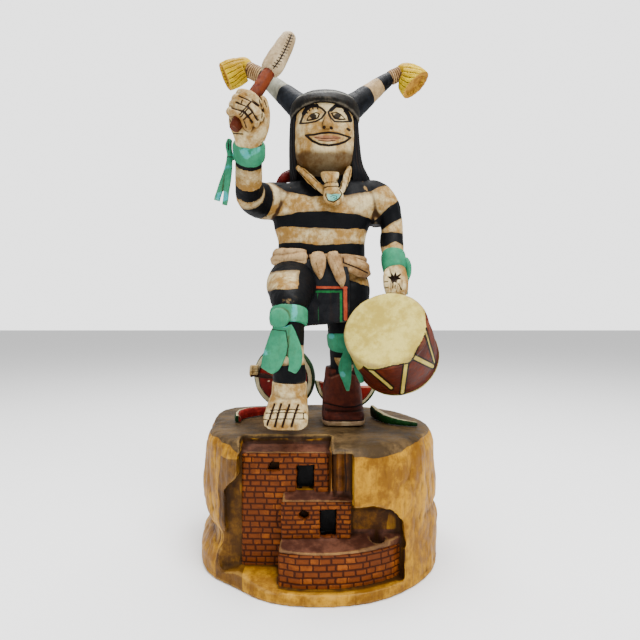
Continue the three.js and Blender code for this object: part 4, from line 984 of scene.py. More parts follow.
def make_neckwear(sizes, shades):
    """Scarf behind the neck, the two strips of the neckerchief, its slide and the round pendant."""
    made = []
    points, faces, normals = surface(4, [limb(SCARF, side=(0, 1, 0))], 0.5)
    points = points - normals * (0.3 * facets(points, (5, 5, 3), 71))[:, None]
    made.append(piece("scarf", points, faces,
                      finish("scarf_paint", (0.19, 0.016, 0.012), (0.09, 0.008, 0.008)),
                      "figure"))
    cream = finish("kerchief_paint", shades.cream, shades.cream_dark, lines=(0.018, 0.006, 0.004), age=1.1)
    for name, rows, side in (("neckerchief_right", KERCHIEF_RIGHT, (1, 0, 1)),
                             ("neckerchief_left", KERCHIEF_LEFT, (1, 0, 0))):
        points, faces, normals = surface(4, [limb(rows, side=side, spacing=0.4)], 0.3)
        fold = 0.5 + 0.5 * np.sin(points[:, 0] * 2.4 + points[:, 2] * 1.1 + 1.5 * drift(points, 3, 72))
        points = points - normals * (0.22 * fold + 0.25 * facets(points, (2.6, 2.6, 2.6), 73))[:, None]
        line = drawn(points, normals, [
            [(299, 172), (306, 178.5), (315, 188), (321.4, 194)],
            [(303.5, 169.5), (311, 176), (318, 182.5)], [(343.6, 172), (342.4, 180), (340.4, 190)],
            [(350.4, 170), (348.4, 180), (344.4, 193.4)]], 0.2)
        made.append(piece(name, points, faces, cream, "figure", {"line": line}, depth=0.25))
    points, faces, normals = surface(5, [limb(SLIDE, spacing=0.3)], 0.26)
    points = points - normals * (0.12 * facets(points, (3, 3, 3), 74))[:, None]
    rings = np.minimum(np.abs(points[:, 2] - 200.9), np.abs(points[:, 2] - 198.5))
    petals = drawn(points, normals, [[(325.4, 178), (327.6, 184)], [(332.2, 172.6), (331.6, 183)],
                                     [(337.6, 178), (335.2, 184)]], 0.12)
    made.append(piece("slide", points, faces, cream, "figure",
                      {"line": np.maximum(0.2 - rings, petals)}, depth=0.22))
    points, faces, normals = surface(5, [limb(PENDANT, spacing=0.3)], 0.26)
    places, scale = on_sheet(points)
    front = normals[:, 1] < -0.3
    outline = [(325.6, 190.4), (329, 187.2), (338, 187.6), (342.2, 193.6), (339.4, 198.4), (333.4, 202.2),
               (328, 200.6), (325.9, 196.4)]
    stone = within(places, [(326.6, 193.2), (331, 194.8), (336, 193.6), (341.2, 193.8), (338.8, 198),
                            (333.4, 201.2), (328.6, 199.8)]) * scale
    squiggle = drawn(points, normals,
                     [[(330.6, 196.6), (333.4, 195.4), (336.4, 196.2), (336.8, 198.4), (334.2, 199.4)],
                                       [(334.6, 197.2), (333.2, 198)]], 0.17)
    rim = drawn(points, normals, [outline + outline[:1]], 0.3)
    raised = np.where(front, 0.3 * level(stone, -0.2, 0.5) - 0.15 * level(rim, -0.3, 0.1), 0)
    points = points + normals * raised[:, None]
    made.append(piece("pendant", points, faces, finish(
        "pendant_paint", shades.cream, shades.cream_dark, lines=(0.012, 0.008, 0.006), age=1.0,
        coats=[("stone", (0.16, 0.42, 0.36), (0.32, 0.62, 0.54))]), "figure",
        {"line": np.maximum(squiggle, rim), "stone": np.where(front, stone, NOWHERE)}, depth=0.22))
    return made


# Hands

FINGERS_RAISED = [
    ([-37, -54, 233.6], [-30.9, -59, 230], [-28.6, -58, 227.4]),
    ([-39, -54, 231.2], [-32.4, -59.4, 226.9], [-28.6, -57.6, 222.2]),
    ([-40.3, -54, 228.4], [-34, -59.5, 224.2], [-30.5, -57.6, 219.6]),
    ([-41.6, -54, 225.2], [-35.7, -59.2, 221.6], [-33.6, -57.8, 217.8]),
]
THUMB_RAISED = [[-28.6, -47, 214.5, 2, 3], [-26.8, -50, 219.4, 2.6, 3.2], [-26.1, -53, 226, 2.6, 3],
                [-26.7, -54, 230.4, 2.1, 2.5], [-27, -54, 232.4, 1.1, 1.4]]
FIST_CUTS = [
    [(238.7, 95.7), (252.9, 101.5), (259.2, 105.5)],
    [(236, 102.2), (248, 106.4), (252.1, 111.3), (257.9, 120.3)],
    [(231.5, 107.5), (241.8, 110.7), (244.5, 112.2), (248, 116.3), (252.3, 122.5)],
    [(243.6, 121.6), (245.8, 127.9)], [(250.7, 101.5), (244.6, 108.4), (239.1, 114.5)],
    [(248.5, 107.3), (240, 117.1)], [(252.5, 111.8), (242.7, 120.3)], [(260.1, 98.4), (260.5, 102.9)],
    [(261.4, 104.2), (263, 111), (262.8, 118.5)],
]
FIST_TICKS = [[(242.2, 99.7), (240.4, 103.8)], [(229.3, 119), (231.1, 124.3)],
              [(231.8, 118.6), (233.4, 122.4)], [(264.1, 100.2), (265.6, 103), (266.8, 106.9)],
              [(231.6, 133.4), (242.7, 134.1)]]


def make_fist(sizes, shades):
    """The raised fist round the beater: four bent fingers over a core, the thumb up beside them."""
    shells = [limb(ARM_RAISED[6:], power=2.1, spacing=0.4)]
    for knuckle, bend, tip in FINGERS_RAISED:
        shells.append(limb([
            [knuckle[0] - 1, knuckle[1] + 3, knuckle[2] + 0.4, 1.5, 1.8], [*knuckle, 1.95, 2.5],
            [*bend, 1.95, 2.6], [*tip, 1.95, 2.4], [tip[0] + 0.4, tip[1] + 3.4, tip[2] - 0.8, 1.4, 1.6],
        ], side=(0.5, 0, 0.87), power=2.8, spacing=0.4))
    shells.append(limb(THUMB_RAISED, spacing=0.4))
    shells.append(limb([[-36.8, -55.6, 230.6, 5.2, 5.2], [-29.8, -56.4, 219.8, 5.2, 5.2]], side=(0, 1, 0)))
    points, faces, normals = surface(14, shells, sizes.hand_net * 1000)
    cuts = drawn(points, normals, FIST_CUTS, 0.34)
    ticks = drawn(points, normals, FIST_TICKS, 0.26)
    cut = 0.45 * level(cuts, -0.6, 0.15) + 0.2 * level(ticks, -0.3, 0.1)
    cut += 0.15 * facets(points, (4, 4, 4), 81)
    points = points - normals * cut[:, None]
    return piece("fist", points, faces, finish_named("skin", shades), "figure",
                 {"line": np.maximum(cuts, ticks)}, smooth=6, depth=0.25)


STAR = [(392.4, 283.6), (390.8, 279.2), (387.6, 276.6), (391.2, 276.8), (391.4, 273.4), (393.8, 276.2),
        (395.4, 272.4), (396.6, 276.0), (401.2, 273.6), (398.6, 277.2), (401, 279), (397.2, 279.6),
        (396.4, 282.6), (394.2, 281.6)]


def make_lowered_hand(sizes, shades):
    """The hand on the drum: a palm narrowing down, thumb at one side, and a star-shaped cut."""
    shells = [limb([[40.8, -12.6, 158, 5.6, 5.4]] + ARM_LOWERED[8:], spacing=0.4),
              limb([[36.6, -17, 154.6, 1.6, 1.8], [35.9, -19.6, 151, 2.1, 2.3],
                    [35.9, -21, 146.4, 2.1, 2.2], [36.6, -21.4, 142, 1.7, 1.8]], spacing=0.4)]
    for i in range(3):
        shells.append(limb([
            [44.9 - 2.6 * i, -19.6 - 0.5 * i, 149, 1.5, 1.6],
            [44.6 - 2.6 * i, -21 - 0.5 * i, 145.6, 1.6, 1.7],
            [43.6 - 2.4 * i, -21.2 - 0.4 * i, 141.6, 1.4, 1.5]], spacing=0.4))
    points, faces, normals = surface(8, shells, sizes.hand_net * 1000)
    places, scale = on_sheet(points)
    star = np.where(normals[:, 1] < -0.1, within(places, STAR) * scale, NOWHERE)
    cuts = drawn(points, normals, [[(383.6, 282), (388, 281.6)], [(383.8, 288), (388.4, 287.8)],
                                   [(392.8, 283), (392.4, 288)],
                                   [(398.6, 283.8), (400.2, 286.4), (401.3, 289.6)],
                                   [(395.6, 285), (395.2, 289)]], 0.24)
    cut = 1.3 * level(star, -0.15, 0.7) + 0.25 * level(cuts, -0.35, 0.1)
    cut += 0.1 * facets(points, (4, 4, 4), 83)
    points = points - normals * cut[:, None]
    return piece("lowered_hand", points, faces, finish_named("skin", shades), "figure",
                 {"line": np.maximum(star + 0.15, cuts)}, smooth=5, depth=0.25)


# Turquoise ties and bands

TIES = {
    "cuff_right": ([[[-35.4, -39, 207.8, 7, 6.8], [-35.3, -39.6, 208.3, 8, 7.8],
                     [-34.7, -44.2, 213.4, 8, 7.7], [-34.6, -45, 214.4, 7.2, 7]]], 2),
    "cuff_left": ([[[40.6, -9, 164.4, 6.3, 6.5], [40.6, -9.6, 163.4, 6.9, 7], [41, -13.2, 155.6, 6.8, 6.8],
                    [41.1, -13.8, 154.4, 6.4, 6.4]]], 2),
    "cuff_right_tie": ([
        [[-44.6, -40.4, 217.2, 1.4, 2], [-45.2, -40.6, 214, 1.8, 2.5], [-44.7, -40.4, 209.6, 1.6, 2.3],
         [-44.8, -40, 207.4, 1.8, 2.4]],
        [[-44.6, -40.2, 209, 1.4, 2], [-46, -39.6, 203, 1.7, 1.6], [-49, -38.6, 195, 1.8, 1.4],
         [-51.6, -38, 187.2, 1.7, 1.2]],
        [[-44.6, -41.2, 209, 1.4, 1.6], [-45, -41, 202, 1.8, 1.5], [-46.2, -40.4, 193, 1.7, 1.4],
         [-47.5, -39.6, 184.6, 1.5, 1.2]],
        [[-44.9, -40.6, 208, 1.5, 1.5], [-40.6, -40.6, 208.6, 1.5, 1.5]],
    ], 2.4),
    "cuff_left_tie": ([
        [[46.8, -12.6, 161.6, 1.4, 2], [48, -13.6, 158.6, 2, 2.6], [48.3, -14.4, 153.4, 1.8, 2.4],
         [47.4, -14.8, 148.6, 1.1, 2], [47.2, -15, 141.4, 0.9, 1.7]],
    ], 2.2),
    "knee_band_right": ([[[-15.2, -45, 133.2, 8.4, 8.4], [-15.2, -45.2, 132.4, 9.3, 9.3],
                          [-15.2, -46.2, 125.6, 9.1, 9.2], [-15.2, -46.4, 124.8, 8.2, 8.3]],
                         [[-19.2, -57.0, 128.6, 3.4, 3.4], [-19.2, -56.4, 128.6, 4.6, 4.6],
                          [-19.2, -52, 128.6, 4.9, 4.9], [-19.2, -47, 128.6, 3.6, 3.6]]], 2),
    "knee_band_left": ([[[13.2, -7.8, 120.5, 8.8, 9], [13.2, -7.8, 119.6, 9.4, 9.6],
                         [13.2, -7.4, 113, 9, 9.2], [13.2, -7.2, 112.3, 8.4, 8.6]],
                        [[18, -17.4, 115.4, 2.2, 2.2], [18, -16.4, 115.4, 3.4, 3.4],
                         [18, -12, 115.4, 3.4, 3.4]]], 2),
    "streamers_right": ([
        [[-17.8, -54.6, 125.2, 3.4, 1.6], [-19, -54.4, 121.8, 4.3, 1.6], [-20.6, -53, 114, 5.4, 1.5],
         [-23.4, -51.4, 106.6, 5, 1.4], [-25.4, -51, 103.4, 3.4, 1.2]],
        [[-14.8, -53.6, 125.4, 1.6, 1.4], [-13.4, -53.6, 121.4, 2.4, 1.5], [-11.8, -52, 112, 3.6, 1.5],
         [-12, -51, 106.4, 3.2, 1.4], [-13.4, -50.4, 102.8, 2.2, 1.2]],
    ], 2.6),
    "streamers_left": ([
        [[16.6, -15.6, 113.4, 2, 1.2], [14.6, -15.8, 108.6, 2.8, 1.3], [13.7, -15.8, 100.8, 3.9, 1.3],
         [14.6, -15.4, 94.4, 2.6, 1.2], [15.2, -15, 88.8, 1, 0.9]],
        [[18.6, -14.8, 113, 2, 1.2], [19.8, -14.6, 107, 2.8, 1.3], [21.8, -14.2, 98.6, 2.6, 1.2],
         [23, -14, 93.2, 1.3, 1]],
    ], 2.4),
}


def make_ties(sizes, shades):
    """Cuffs, knee bands, knots and hanging ties, each with soft folds along its length."""
    made = []
    for n, (name, (paths, power)) in enumerate(TIES.items()):
        points, faces, normals = surface(4, [limb(rows, power=power, spacing=0.4) for rows in paths],
                                         sizes.tie_net * 1000)
        fold = 0.5 + 0.5 * drift(points, (2.4, 2.4, 9), 91 + n)
        cut = 0.22 * fold + 0.28 * facets(points, (4.5, 4.5, 6), 101 + n)
        points = carve(points, normals, cut, sizes)
        cyan = 1.6 * drift(points, (6, 6, 7), 111 + n) - 0.75
        line = drawn(points, normals, [
            [(226.6, 156.6), (232.4, 157)], [(271.6, 329.4), (285.6, 331)],
            [(285.8, 330.6), (288.2, 346), (285.4, 362)], [(228, 139), (228.6, 150)]], 0.24)
        made.append(piece(name, points, faces, finish_named("turquoise", shades), "figure",
                          {"cyan": cyan, "line": line}, depth=0.28))
    return made


# Belt and breechcloth

BELT_ROLLS = [
    [[-26.2, -3, 163.6, 1.6, 3.2], [-24.6, -9.4, 163, 2.4, 5.2], [-19, -15.6, 162.2, 2.6, 5.2],
     [-10, -18.4, 161.6, 2.4, 4.8], [-6.6, -18.8, 161.6, 1.6, 4]],
    [[27.4, -3, 155.6, 1.6, 3], [25.6, -9, 155.4, 2.4, 4.8], [20, -15, 156.4, 2.6, 5],
     [13.6, -18.6, 158.6, 2.4, 4.4], [9.6, -19.6, 160.4, 1.6, 3.4]],
]
BELT_RING = [[152.2, 0.4, 0, 25.2, 16.8], [153.4, 0.5, 0, 27.2, 18.6], [157, 0.5, 0, 27.7, 19],
             [159.6, 0.4, 0, 26.9, 18.6], [161.8, 0.3, 0, 27.2, 18.8], [163.4, 0.3, 0, 26.2, 18],
             [164.4, 0.6, 0, 24.9, 16.8]]
BELT_ENDS = {
    "belt_end_right": [[-1.2, -20.2, 164, 3.2, 1.5], [-1, -21.6, 160.6, 4.3, 1.8],
                       [-0.4, -22.2, 155, 3.5, 1.7], [0, -22, 151, 1.8, 1.4], [0, -21.8, 149.2, 0.6, 0.8]],
    "belt_end_left": [[6.6, -20.2, 164, 3, 1.5], [7.3, -21.8, 160.6, 3.7, 1.8],
                      [9.3, -22.8, 154.6, 3.4, 1.8], [11.1, -23, 149.2, 2.8, 1.6],
                      [11.8, -22.6, 144.8, 0.7, 0.8]],
}
APRON = [[2.4, -17, 160, 12.4, 2.4], [2.4, -19.4, 152, 13.4, 2.4], [2.6, -20.6, 142, 13.6, 2.2],
         [3.2, -21, 132, 12.6, 2], [3.9, -21, 125.3, 11.6, 1.5]]
BACK_FLAP = [[1, 16, 158, 12, 2.6], [1, 18, 148, 14, 2.4], [1, 17.8, 138, 14.4, 2.2],
             [1, 17, 128.4, 14, 1.6]]


def make_clothing(sizes, shades):
    """The rolled belt, its two pointed ends, and the black breechcloth with its painted border."""
    made = []
    linen = finish_named("linen", shades)
    shells = [stack(BELT_RING, power=2.3)]
    shells += [limb(rows, side=(0, 1, 0), power=2.4) for rows in BELT_ROLLS]
    points, faces, normals = surface(5, shells, 0.6)
    fold = 0.5 + 0.5 * np.sin(points[:, 2] * 1.5 + 2.2 * drift(points, (11, 11, 5), 121))
    cut = 0.35 * fold + 0.4 * facets(points, (7, 7, 3.4),
                                     122) + 0.12 * (1 + drift(points, (3, 3, 1.2), 123))
    points = carve(points, normals, cut, sizes)
    line = drawn(points, normals,
                 [[(275, 266.6), (288, 264.6), (304, 265.8)], [(344, 262.8), (356, 267.4), (367.6, 273)],
                                   [(308.4, 252), (309.2, 262)], [(343, 258), (343.6, 262.6)]], 0.4)
    made.append(piece("belt", points, faces, linen, "figure", {"line": line}, depth=0.4))
    for n, (name, rows) in enumerate(BELT_ENDS.items()):
        points, faces, normals = surface(4, [limb(rows, power=2.2, spacing=0.4)], 0.34)
        cut = 0.35 * facets(points, (3.4, 3.4, 7), 131 + n) + 0.1 * (1 + drift(points, (1.4, 1.4, 4), 133))
        points = carve(points, normals, cut, sizes)
        line = drawn(points, normals,
                     [[(316, 262), (319.4, 276)], [(333.4, 259), (337.8, 268), (341, 276)]], 0.12)
        made.append(piece(name, points, faces, linen, "figure", {"line": line}, depth=0.28))
    for name, rows, seed in (("breechcloth_front", APRON, 141), ("breechcloth_back", BACK_FLAP, 151)):
        points, faces, normals = surface(4, [limb(rows, power=4)], 0.55)
        cut = 0.45 * facets(points, (6, 6, 14), seed) + 0.12 * (1 + drift(points, (3, 3, 8), seed + 1))
        points = carve(points, normals, cut, sizes)
        if name.endswith("front"):
            green = np.maximum.reduce([
                drawn(points, normals, [[(314, 291.6), (341, 291.6)]], 0.55),
                drawn(points, normals, [[(341.2, 291), (341.2, 325)]], 0.62),
                drawn(points, normals, [[(317.6, 294), (318.6, 323)]], 0.16)])
            red = np.maximum(drawn(points, normals, [[(313.5, 287.3), (346.5, 287.6)]], 0.6),
                             drawn(points, normals, [[(345.2, 288.4), (345.6, 319)]], 0.95))
        else:
            edge = np.minimum(14 - np.abs(points[:, 0] - 1), points[:, 2] - 128.4)
            green = 0.5 - np.abs(edge - 3.0)
            red = 0.6 - np.abs(edge - 1.4)
            green = np.where(normals[:, 1] > 0.3, green, NOWHERE)
            red = np.where(normals[:, 1] > 0.3, red, NOWHERE)
        rim = np.maximum(drawn(points, normals, [[(313, 289.6), (342.4, 289.6), (342.8, 325)],
                                                 [(338.6, 293), (338.9, 325)],
                                                 [(348.4, 289), (348.4, 318)]], 0.22), NOWHERE)
        made.append(piece(name, points, faces, finish(
            name + "_paint", (0.024, 0.026, 0.030), (0.010, 0.011, 0.014), age=0.5, wear=0.6, coats=[
                ("green", (0.012, 0.11, 0.035), (0.03, 0.20, 0.07)),
                ("red", (0.30, 0.06, 0.025), (0.45, 0.12, 0.06))],
            lines=(0.004, 0.004, 0.005)), "figure", {"green": green, "red": red,
                                                                    "line": rim}))
    return made


# Feet

FOOT = [
    [-14.8, -24.5, 83, 4, 3.6], [-14.8, -27, 84, 7, 6.4], [-15, -33, 86, 8.6, 8.2],
    [-15.4, -40, 86.6, 9.4, 8.8], [-15.9, -47, 83.6, 10.2, 7], [-16.3, -53, 79.8, 10.6, 4.8],
    [-16.4, -55.4, 79, 9.6, 3.4],
]
TOE_CUTS = [[(273.9, 403.7), (271, 412), (266.8, 426)], [(280.9, 403.7), (278, 413), (274.9, 426.8)],
            [(289.3, 404.4), (286, 414), (282.3, 427.2)], [(298.4, 404.4), (295, 414), (291.4, 426.8)]]
TOE_LINES = [[(265.4, 413), (285, 412.4), (305.6, 412.8)], [(262.6, 419.6), (284, 419.2), (305, 418.8)],
             [(270, 409.8), (300, 409.2)], [(303.7, 413.6), (303.4, 418.6)], [(262.2, 420), (263.4, 426)]]


def make_bare_foot(sizes, shades):
    """The raised bare foot and ankle, flat beneath, with toes parted by cut lines."""
    shells = [limb([[-15, -41.4, 97.6, 8.5, 8.0]] + SHIN_RAISED[6:], spacing=0.5),
              limb(FOOT, power=2.5, spacing=0.5)]
    points, faces, normals = surface(7, shells, sizes.foot_net * 1000, [block(-40, 10, -70, -10, 60, 76)])
    toes = drawn(points, normals, TOE_CUTS, 0.42, 0.3)
    thin = drawn(points, normals, TOE_LINES, 0.24, 0.3)
    cut = 0.75 * level(toes, -0.7, 0.2) + 0.22 * level(thin, -0.3, 0.1)
    cut += 0.18 * facets(points, (5, 5, 5), 161)
    points = points - normals * cut[:, None]
    return piece("bare_foot", points, faces, finish_named("skin", shades), "figure",
                 {"line": np.maximum(toes, thin)}, smooth=6, depth=0.3)


MOCCASIN_UPPER = [[70.4, 13, 0, 11.4, 15.5], [71.4, 13, 0, 12, 16], [80, 12.9, 1.6, 11.8, 14.6],
                  [90, 12.6, 2, 11, 12.4], [97, 12.2, 0.4, 9.6, 10.2], [101.4, 11.9, -0.6, 8.9, 9.4]]
MOCCASIN_TOE = [[70.4, 13, -7, 11.8, 11.8], [73, 13, -7, 12.2, 12.2], [73.6, 13, -6.4, 11.6, 11.4],
                [75, 13, -6.2, 11.8, 11.4], [77.6, 13, -5.6, 11, 10]]


def make_moccasin(sizes, shades):
    """The moccasin: ankle flap and squared toe as one skin, with its seam and sole lines."""
    shells = [stack(MOCCASIN_UPPER, power=2.5), stack(MOCCASIN_TOE, power=3.6)]
    points, faces, normals = surface(5, shells, 0.55)
    flap = 95.6 + 3.4 * np.abs(((points[:, 0] + 3) / 8.6) % 2 - 1)
    over = level(points[:, 2] - flap, -0.4, 0.8) * level(points[:, 1], -4, -8)
    sole = np.abs(points[:, 2] - 73.4)
    cut = 0.3 * facets(points, (6, 6, 6), 171) + 0.08 * (1 + drift(points, 2.5, 172))
    cut += 0.35 * level(sole, 0.8, 0.1)
    seam = drawn(points, normals,
                 [[(323, 402.8), (334, 405.2), (345, 407.2), (356, 406.6), (363.4, 403.8)]], 0.35)
    cut += 0.4 * level(seam, -0.5, 0.1)
    points = points - normals * (cut * sizes.carving / 0.001 + 1.1 * over)[:, None]
    points[:, 2] = np.maximum(points[:, 2], GROUND)
    pale = np.minimum(72.9 - points[:, 2], -points[:, 1] - 4)
    line = np.maximum(seam, 0.3 - np.abs(points[:, 2] - 73.3))
    edge = drawn(points, normals,
                 [[(356.4, 381), (361.4, 384.8), (362.8, 394.6)], [(325.4, 380.7), (323.4, 387.4)],
                                   [(322.9, 405), (322.9, 418)], [(364.6, 409), (365, 419)]], 0.22)
    return piece("moccasin", points, faces, finish(
        "moccasin_paint", (0.145, 0.040, 0.022), (0.075, 0.020, 0.013), stain=(0.03, 0.010, 0.006), age=0.9,
        wear=0.5, lines=(0.012, 0.005, 0.004), coats=[("pale", (0.30, 0.21, 0.12), (0.48, 0.37, 0.24))]),
        "figure", {"pale": pale, "line": np.maximum(line, edge)})


# Horns

HORNS = {
    "right": dict(
        root=(-4.5, -3.3, 242.6), brow=(-13.9, 0, 251.8), wrap_from=(-34.4, 7.4, 271.4),
        wrap_to=(-43, 9, 276.5),
        tassel=[(-44.6, 9.2, 277, 6.2), (-47.4, 9.2, 275.6, 7.4), (-52, 8.8, 273.4, 8.2),
                (-56.4, 8, 271.2, 7.9)],
        radii=(8.8, 7.2, 3.9, 4.5), bands=(0.36, 0.80), cream=(0.34, 0.335, 0.27)),
    "left": dict(
        root=(10, -3.6, 242.2), brow=(19.6, 0, 250.8), wrap_from=(40.8, 8, 270.2), wrap_to=(47.2, 9, 273.8),
        tassel=[(48.6, 9, 273.8, 5.9), (51.2, 8.7, 272.2, 7.7), (54.2, 8, 269, 9), (56.6, 7.2, 265.8, 9.5)],
        radii=(8.8, 7.3, 3.9, 4.1), bands=(0.37, 0.71), cream=(0.53, 0.39, 0.22)),
}


def along_line(points, start, end):
    """Distance along a line from its start, the distance from the line, and the angle round it."""
    start, end = np.array(start, float), np.array(end, float)
    along = (end - start) / np.linalg.norm(end - start)
    across = np.cross(along, [0, 1, 0])
    across /= np.linalg.norm(across)
    other = np.cross(along, across)
    off = points - start
    run = off @ along
    return run, np.hypot(off @ across, off @ other), np.arctan2(off @ other, off @ across)


def make_horn(side, spec, sizes, shades):
    """A striped horn, its cord-wound wrap and the corn-husk tassel."""
    made = []
    root, brow = np.array(spec["root"], float), np.array(spec["brow"], float)
    start, stop = np.array(spec["wrap_from"], float), np.array(spec["wrap_to"], float)
    radii = spec["radii"]
    cone = limb([[*root, radii[0], radii[0]], [*brow, radii[1], radii[1]], [*start, radii[2], radii[2]],
                 [*stop, 2.6, 2.6]], side=(0, 1, 0))
    points, faces, normals = surface(5, [cone], 0.5)
    run, _, _ = along_line(points, brow, start)
    length = np.linalg.norm(start - brow)
    cut = 0.34 * facets(points, (6, 6, 6), 181) + 0.06 * (1 + drift(points, 2.2, 182))
    points = carve(points, normals, cut, sizes)
    wander = 0.35 * drift(points, 4, 183)
    near, far = (length * share for share in spec["bands"])
    ink = np.maximum(near - run, run - far) + wander
    made.append(piece(f"horn_{side}_cone", points, faces, finish(
        f"horn_{side}_paint", spec["cream"], tuple(0.6 * v for v in spec["cream"]), halo=0.5,
        coats=[("ink", tuple(shades.black),
                (0.022, 0.026, 0.034))]), f"horn_{side}", {"ink": ink}))

    rows = [[*(start + (stop - start) * t), radii[3], radii[3]] for t in (0, 1)]
    rows[0][3:] = [radii[3] - 0.7] * 2
    rows.insert(1, [*(start + (stop - start) * 0.12), radii[3], radii[3]])
    points, faces, normals = surface(4, [limb(rows, side=(0, 1, 0), spacing=0.3)], 0.26)
    run, _, angle = along_line(points, start, stop)
    turn = (run + 0.5 * drift(points, (5, 5, 5), 184)) / 1.35 + angle / (2 * np.pi)
    gap = np.abs(turn - np.round(turn)) * 1.35
    scored = 0.34 * level(gap, 0.45, 0.05) + 0.16 * facets(points, (2.4, 2.4, 2.4), 185)
    points = points - normals * scored[:, None]
    made.append(piece(f"horn_{side}_wrap", points, faces, finish_named("linen", shades),
                      f"horn_{side}", {"line": 0.17 - gap}, depth=0.22))

    tassel = np.array(spec["tassel"], float)
    first = stop + (start - stop) * 0.12
    rows = [[*first, radii[3] - 0.6, radii[3] - 0.6]] + [[*row, row[3]] for row in tassel.tolist()]
    tip, before = tassel[-1, :3], tassel[-2, :3]
    axis = (tip - before) / np.linalg.norm(tip - before)
    wide = tassel[-1, 3]
    hollow = limb([[*(tip + 3 * axis), wide * 0.98, wide * 0.98],
                   [*(tip - 1.8 * axis), wide * 0.6, wide * 0.6]],
                  side=(0, 1, 0))
    points, faces, normals = surface(3, [limb(rows, side=(0, 1, 0), spacing=0.4)], 0.42, [hollow])
    run, _, angle = along_line(points, first, tip)
    swing = angle + 0.09 * drift(points, (5, 5, 5), 186) + 0.03 * run
    strand = np.abs((swing * 17 / (2 * np.pi)) % 1 - 0.5) * 2
    fine = np.abs((swing * 43 / (2 * np.pi)) % 1 - 0.5) * 2
    inward = np.abs(normals @ axis) > 0.6
    groove = np.where(inward, 0.3, 1.0)
    cut = groove * (0.55 * level(strand, 0.35, 0.0) + 0.2 * level(fine, 0.5, 0.0)) * level(run, 0.5, 4)
    cut += 0.3 * facets(points, (3.5, 3.5, 3.5), 187)
    points = carve(points, normals, cut, sizes)
    line = np.where(strand < 0.2, 0.25 - strand * 1.6, NOWHERE)
    cell = np.stack([np.floor(swing * 17 / (2 * np.pi) + 0.5).astype(np.int64),
                     np.floor(run / 3.2).astype(np.int64), np.zeros(len(run), np.int64)], 1)
    line = np.where((run > 2.0) & ~inward & (scatter(cell, 9) > -0.35), line, NOWHERE)
    made.append(piece(f"horn_{side}_tassel", points, faces, finish(
        f"tassel_{side}_paint", shades.yellow, (0.40, 0.26, 0.004), stain=(0.16, 0.10, 0.006), age=0.8,
        coats=[("end", (0.30, 0.15, 0.015), (0.48, 0.28, 0.04))], lines=(0.045, 0.02, 0.004)),
        f"horn_{side}", {"line": line, "end": np.where(inward & (run > 6), 1.0, -3.0)},
        depth=0.3))
    return made


# Beater and drum

GRIP_FROM, GRIP_TO = np.array([-40.2, -57.1, 215.8]), np.array([-24, -49.1, 246.8])
STITCH = [(292, 34), (288.6, 42.6), (284.6, 51.4), (279.6, 60.2), (273.4, 68.4)]


def make_beater(sizes, shades):
    """The drum beater: a wooden handle and a padded head sewn down its front."""
    axis = (GRIP_TO - GRIP_FROM) / np.linalg.norm(GRIP_TO - GRIP_FROM)
    end = GRIP_TO + 2 * axis
    rows = [[*GRIP_FROM, 1.9, 1.9], [*(GRIP_FROM + 0.5 * axis), 2.55, 2.55],
            [*(end - 1 * axis), 2.85, 2.85], [*end, 2.4, 2.4]]
    points, faces, normals = surface(4, [limb(rows, side=(0, 1, 0), spacing=0.4)], 0.32)
    run, _, _ = along_line(points, GRIP_FROM, GRIP_TO)
    cut = 0.3 * facets(points, (3.4, 3.4, 5), 191) + 0.08 * (1 + drift(points, 1.8, 192))
    points = carve(points, normals, cut, sizes)
    made = [piece("beater_handle", points, faces, finish(
        "handle_paint", (0.21, 0.060, 0.020), (0.11, 0.028, 0.010), stain=(0.05, 0.012, 0.006), age=0.8,
        wear=0.6, coats=[("spot", (0.09, 0.02, 0.01), (0.16, 0.035, 0.015))]), "beater",
        {"spot": 1.5 * drift(points, (2.2, 2.2, 2.2), 193) - 0.8}, depth=0.25)]
    rows = [(-1.2, 3), (-0.2, 4.5), (3, 5.3), (8, 5.3), (13, 4.8), (18, 4.3), (22, 3.5), (23.8, 1.6)]
    head = limb([[*(GRIP_TO + s * axis + np.array([-0.0016 * s * s, 0, 0.02 * s])), r, 0.86 * r] for s,
                 r in rows],
                side=(1, 0, 0), spacing=0.4)
    points, faces, normals = surface(5, [head], 0.3)
    line = np.array(STITCH)
    ticks = []
    for t in np.linspace(0.03, 0.93, 12):
        at = t * (len(line) - 1)
        k = min(int(at), len(line) - 2)
        middle = line[k] + (line[k + 1] - line[k]) * (at - k)
        ticks.append([middle + (-2.5, -0.9), middle + (2.5, 0.9)])
    thread = np.maximum(drawn(points, normals, [STITCH], 0.3), drawn(points, normals, ticks, 0.24))
    seam = drawn(points, normals, [STITCH], 0.5)
    cut = 0.3 * level(seam, -0.5, 0.2) + 0.2 * facets(points, (5, 5, 7),
                                                      194) + 0.05 * (1 + drift(points, 2, 195))
    points = carve(points, normals, cut, sizes)
    made.append(piece("beater_head", points, faces, finish(
        "beater_head_paint", (0.52, 0.43, 0.29), (0.33, 0.25, 0.15), lines=(0.010, 0.008, 0.008), age=0.8),
        "beater", {"line": thread}, depth=0.25))
    return made


DRUM_FRONT = np.array([32.5, -38, 123.8])
DRUM_AXIS = np.array([0.315, 0.795, -0.52]) / np.linalg.norm([0.315, 0.795, -0.52])
DRUM_LENGTH = 33.5
DRUM_RADIUS = 21.4
DRUM_FLARE = 1.2
LACES = [([(364.6, 365.2), (391.3, 388.2)], 1.0), ([(406.4, 362.6), (402.2, 393.4)], 1.15),
         ([(408.6, 354.4), (432.4, 366.2)], 1.25), ([(424.6, 327.6), (434.8, 362.6)], 0.62)]


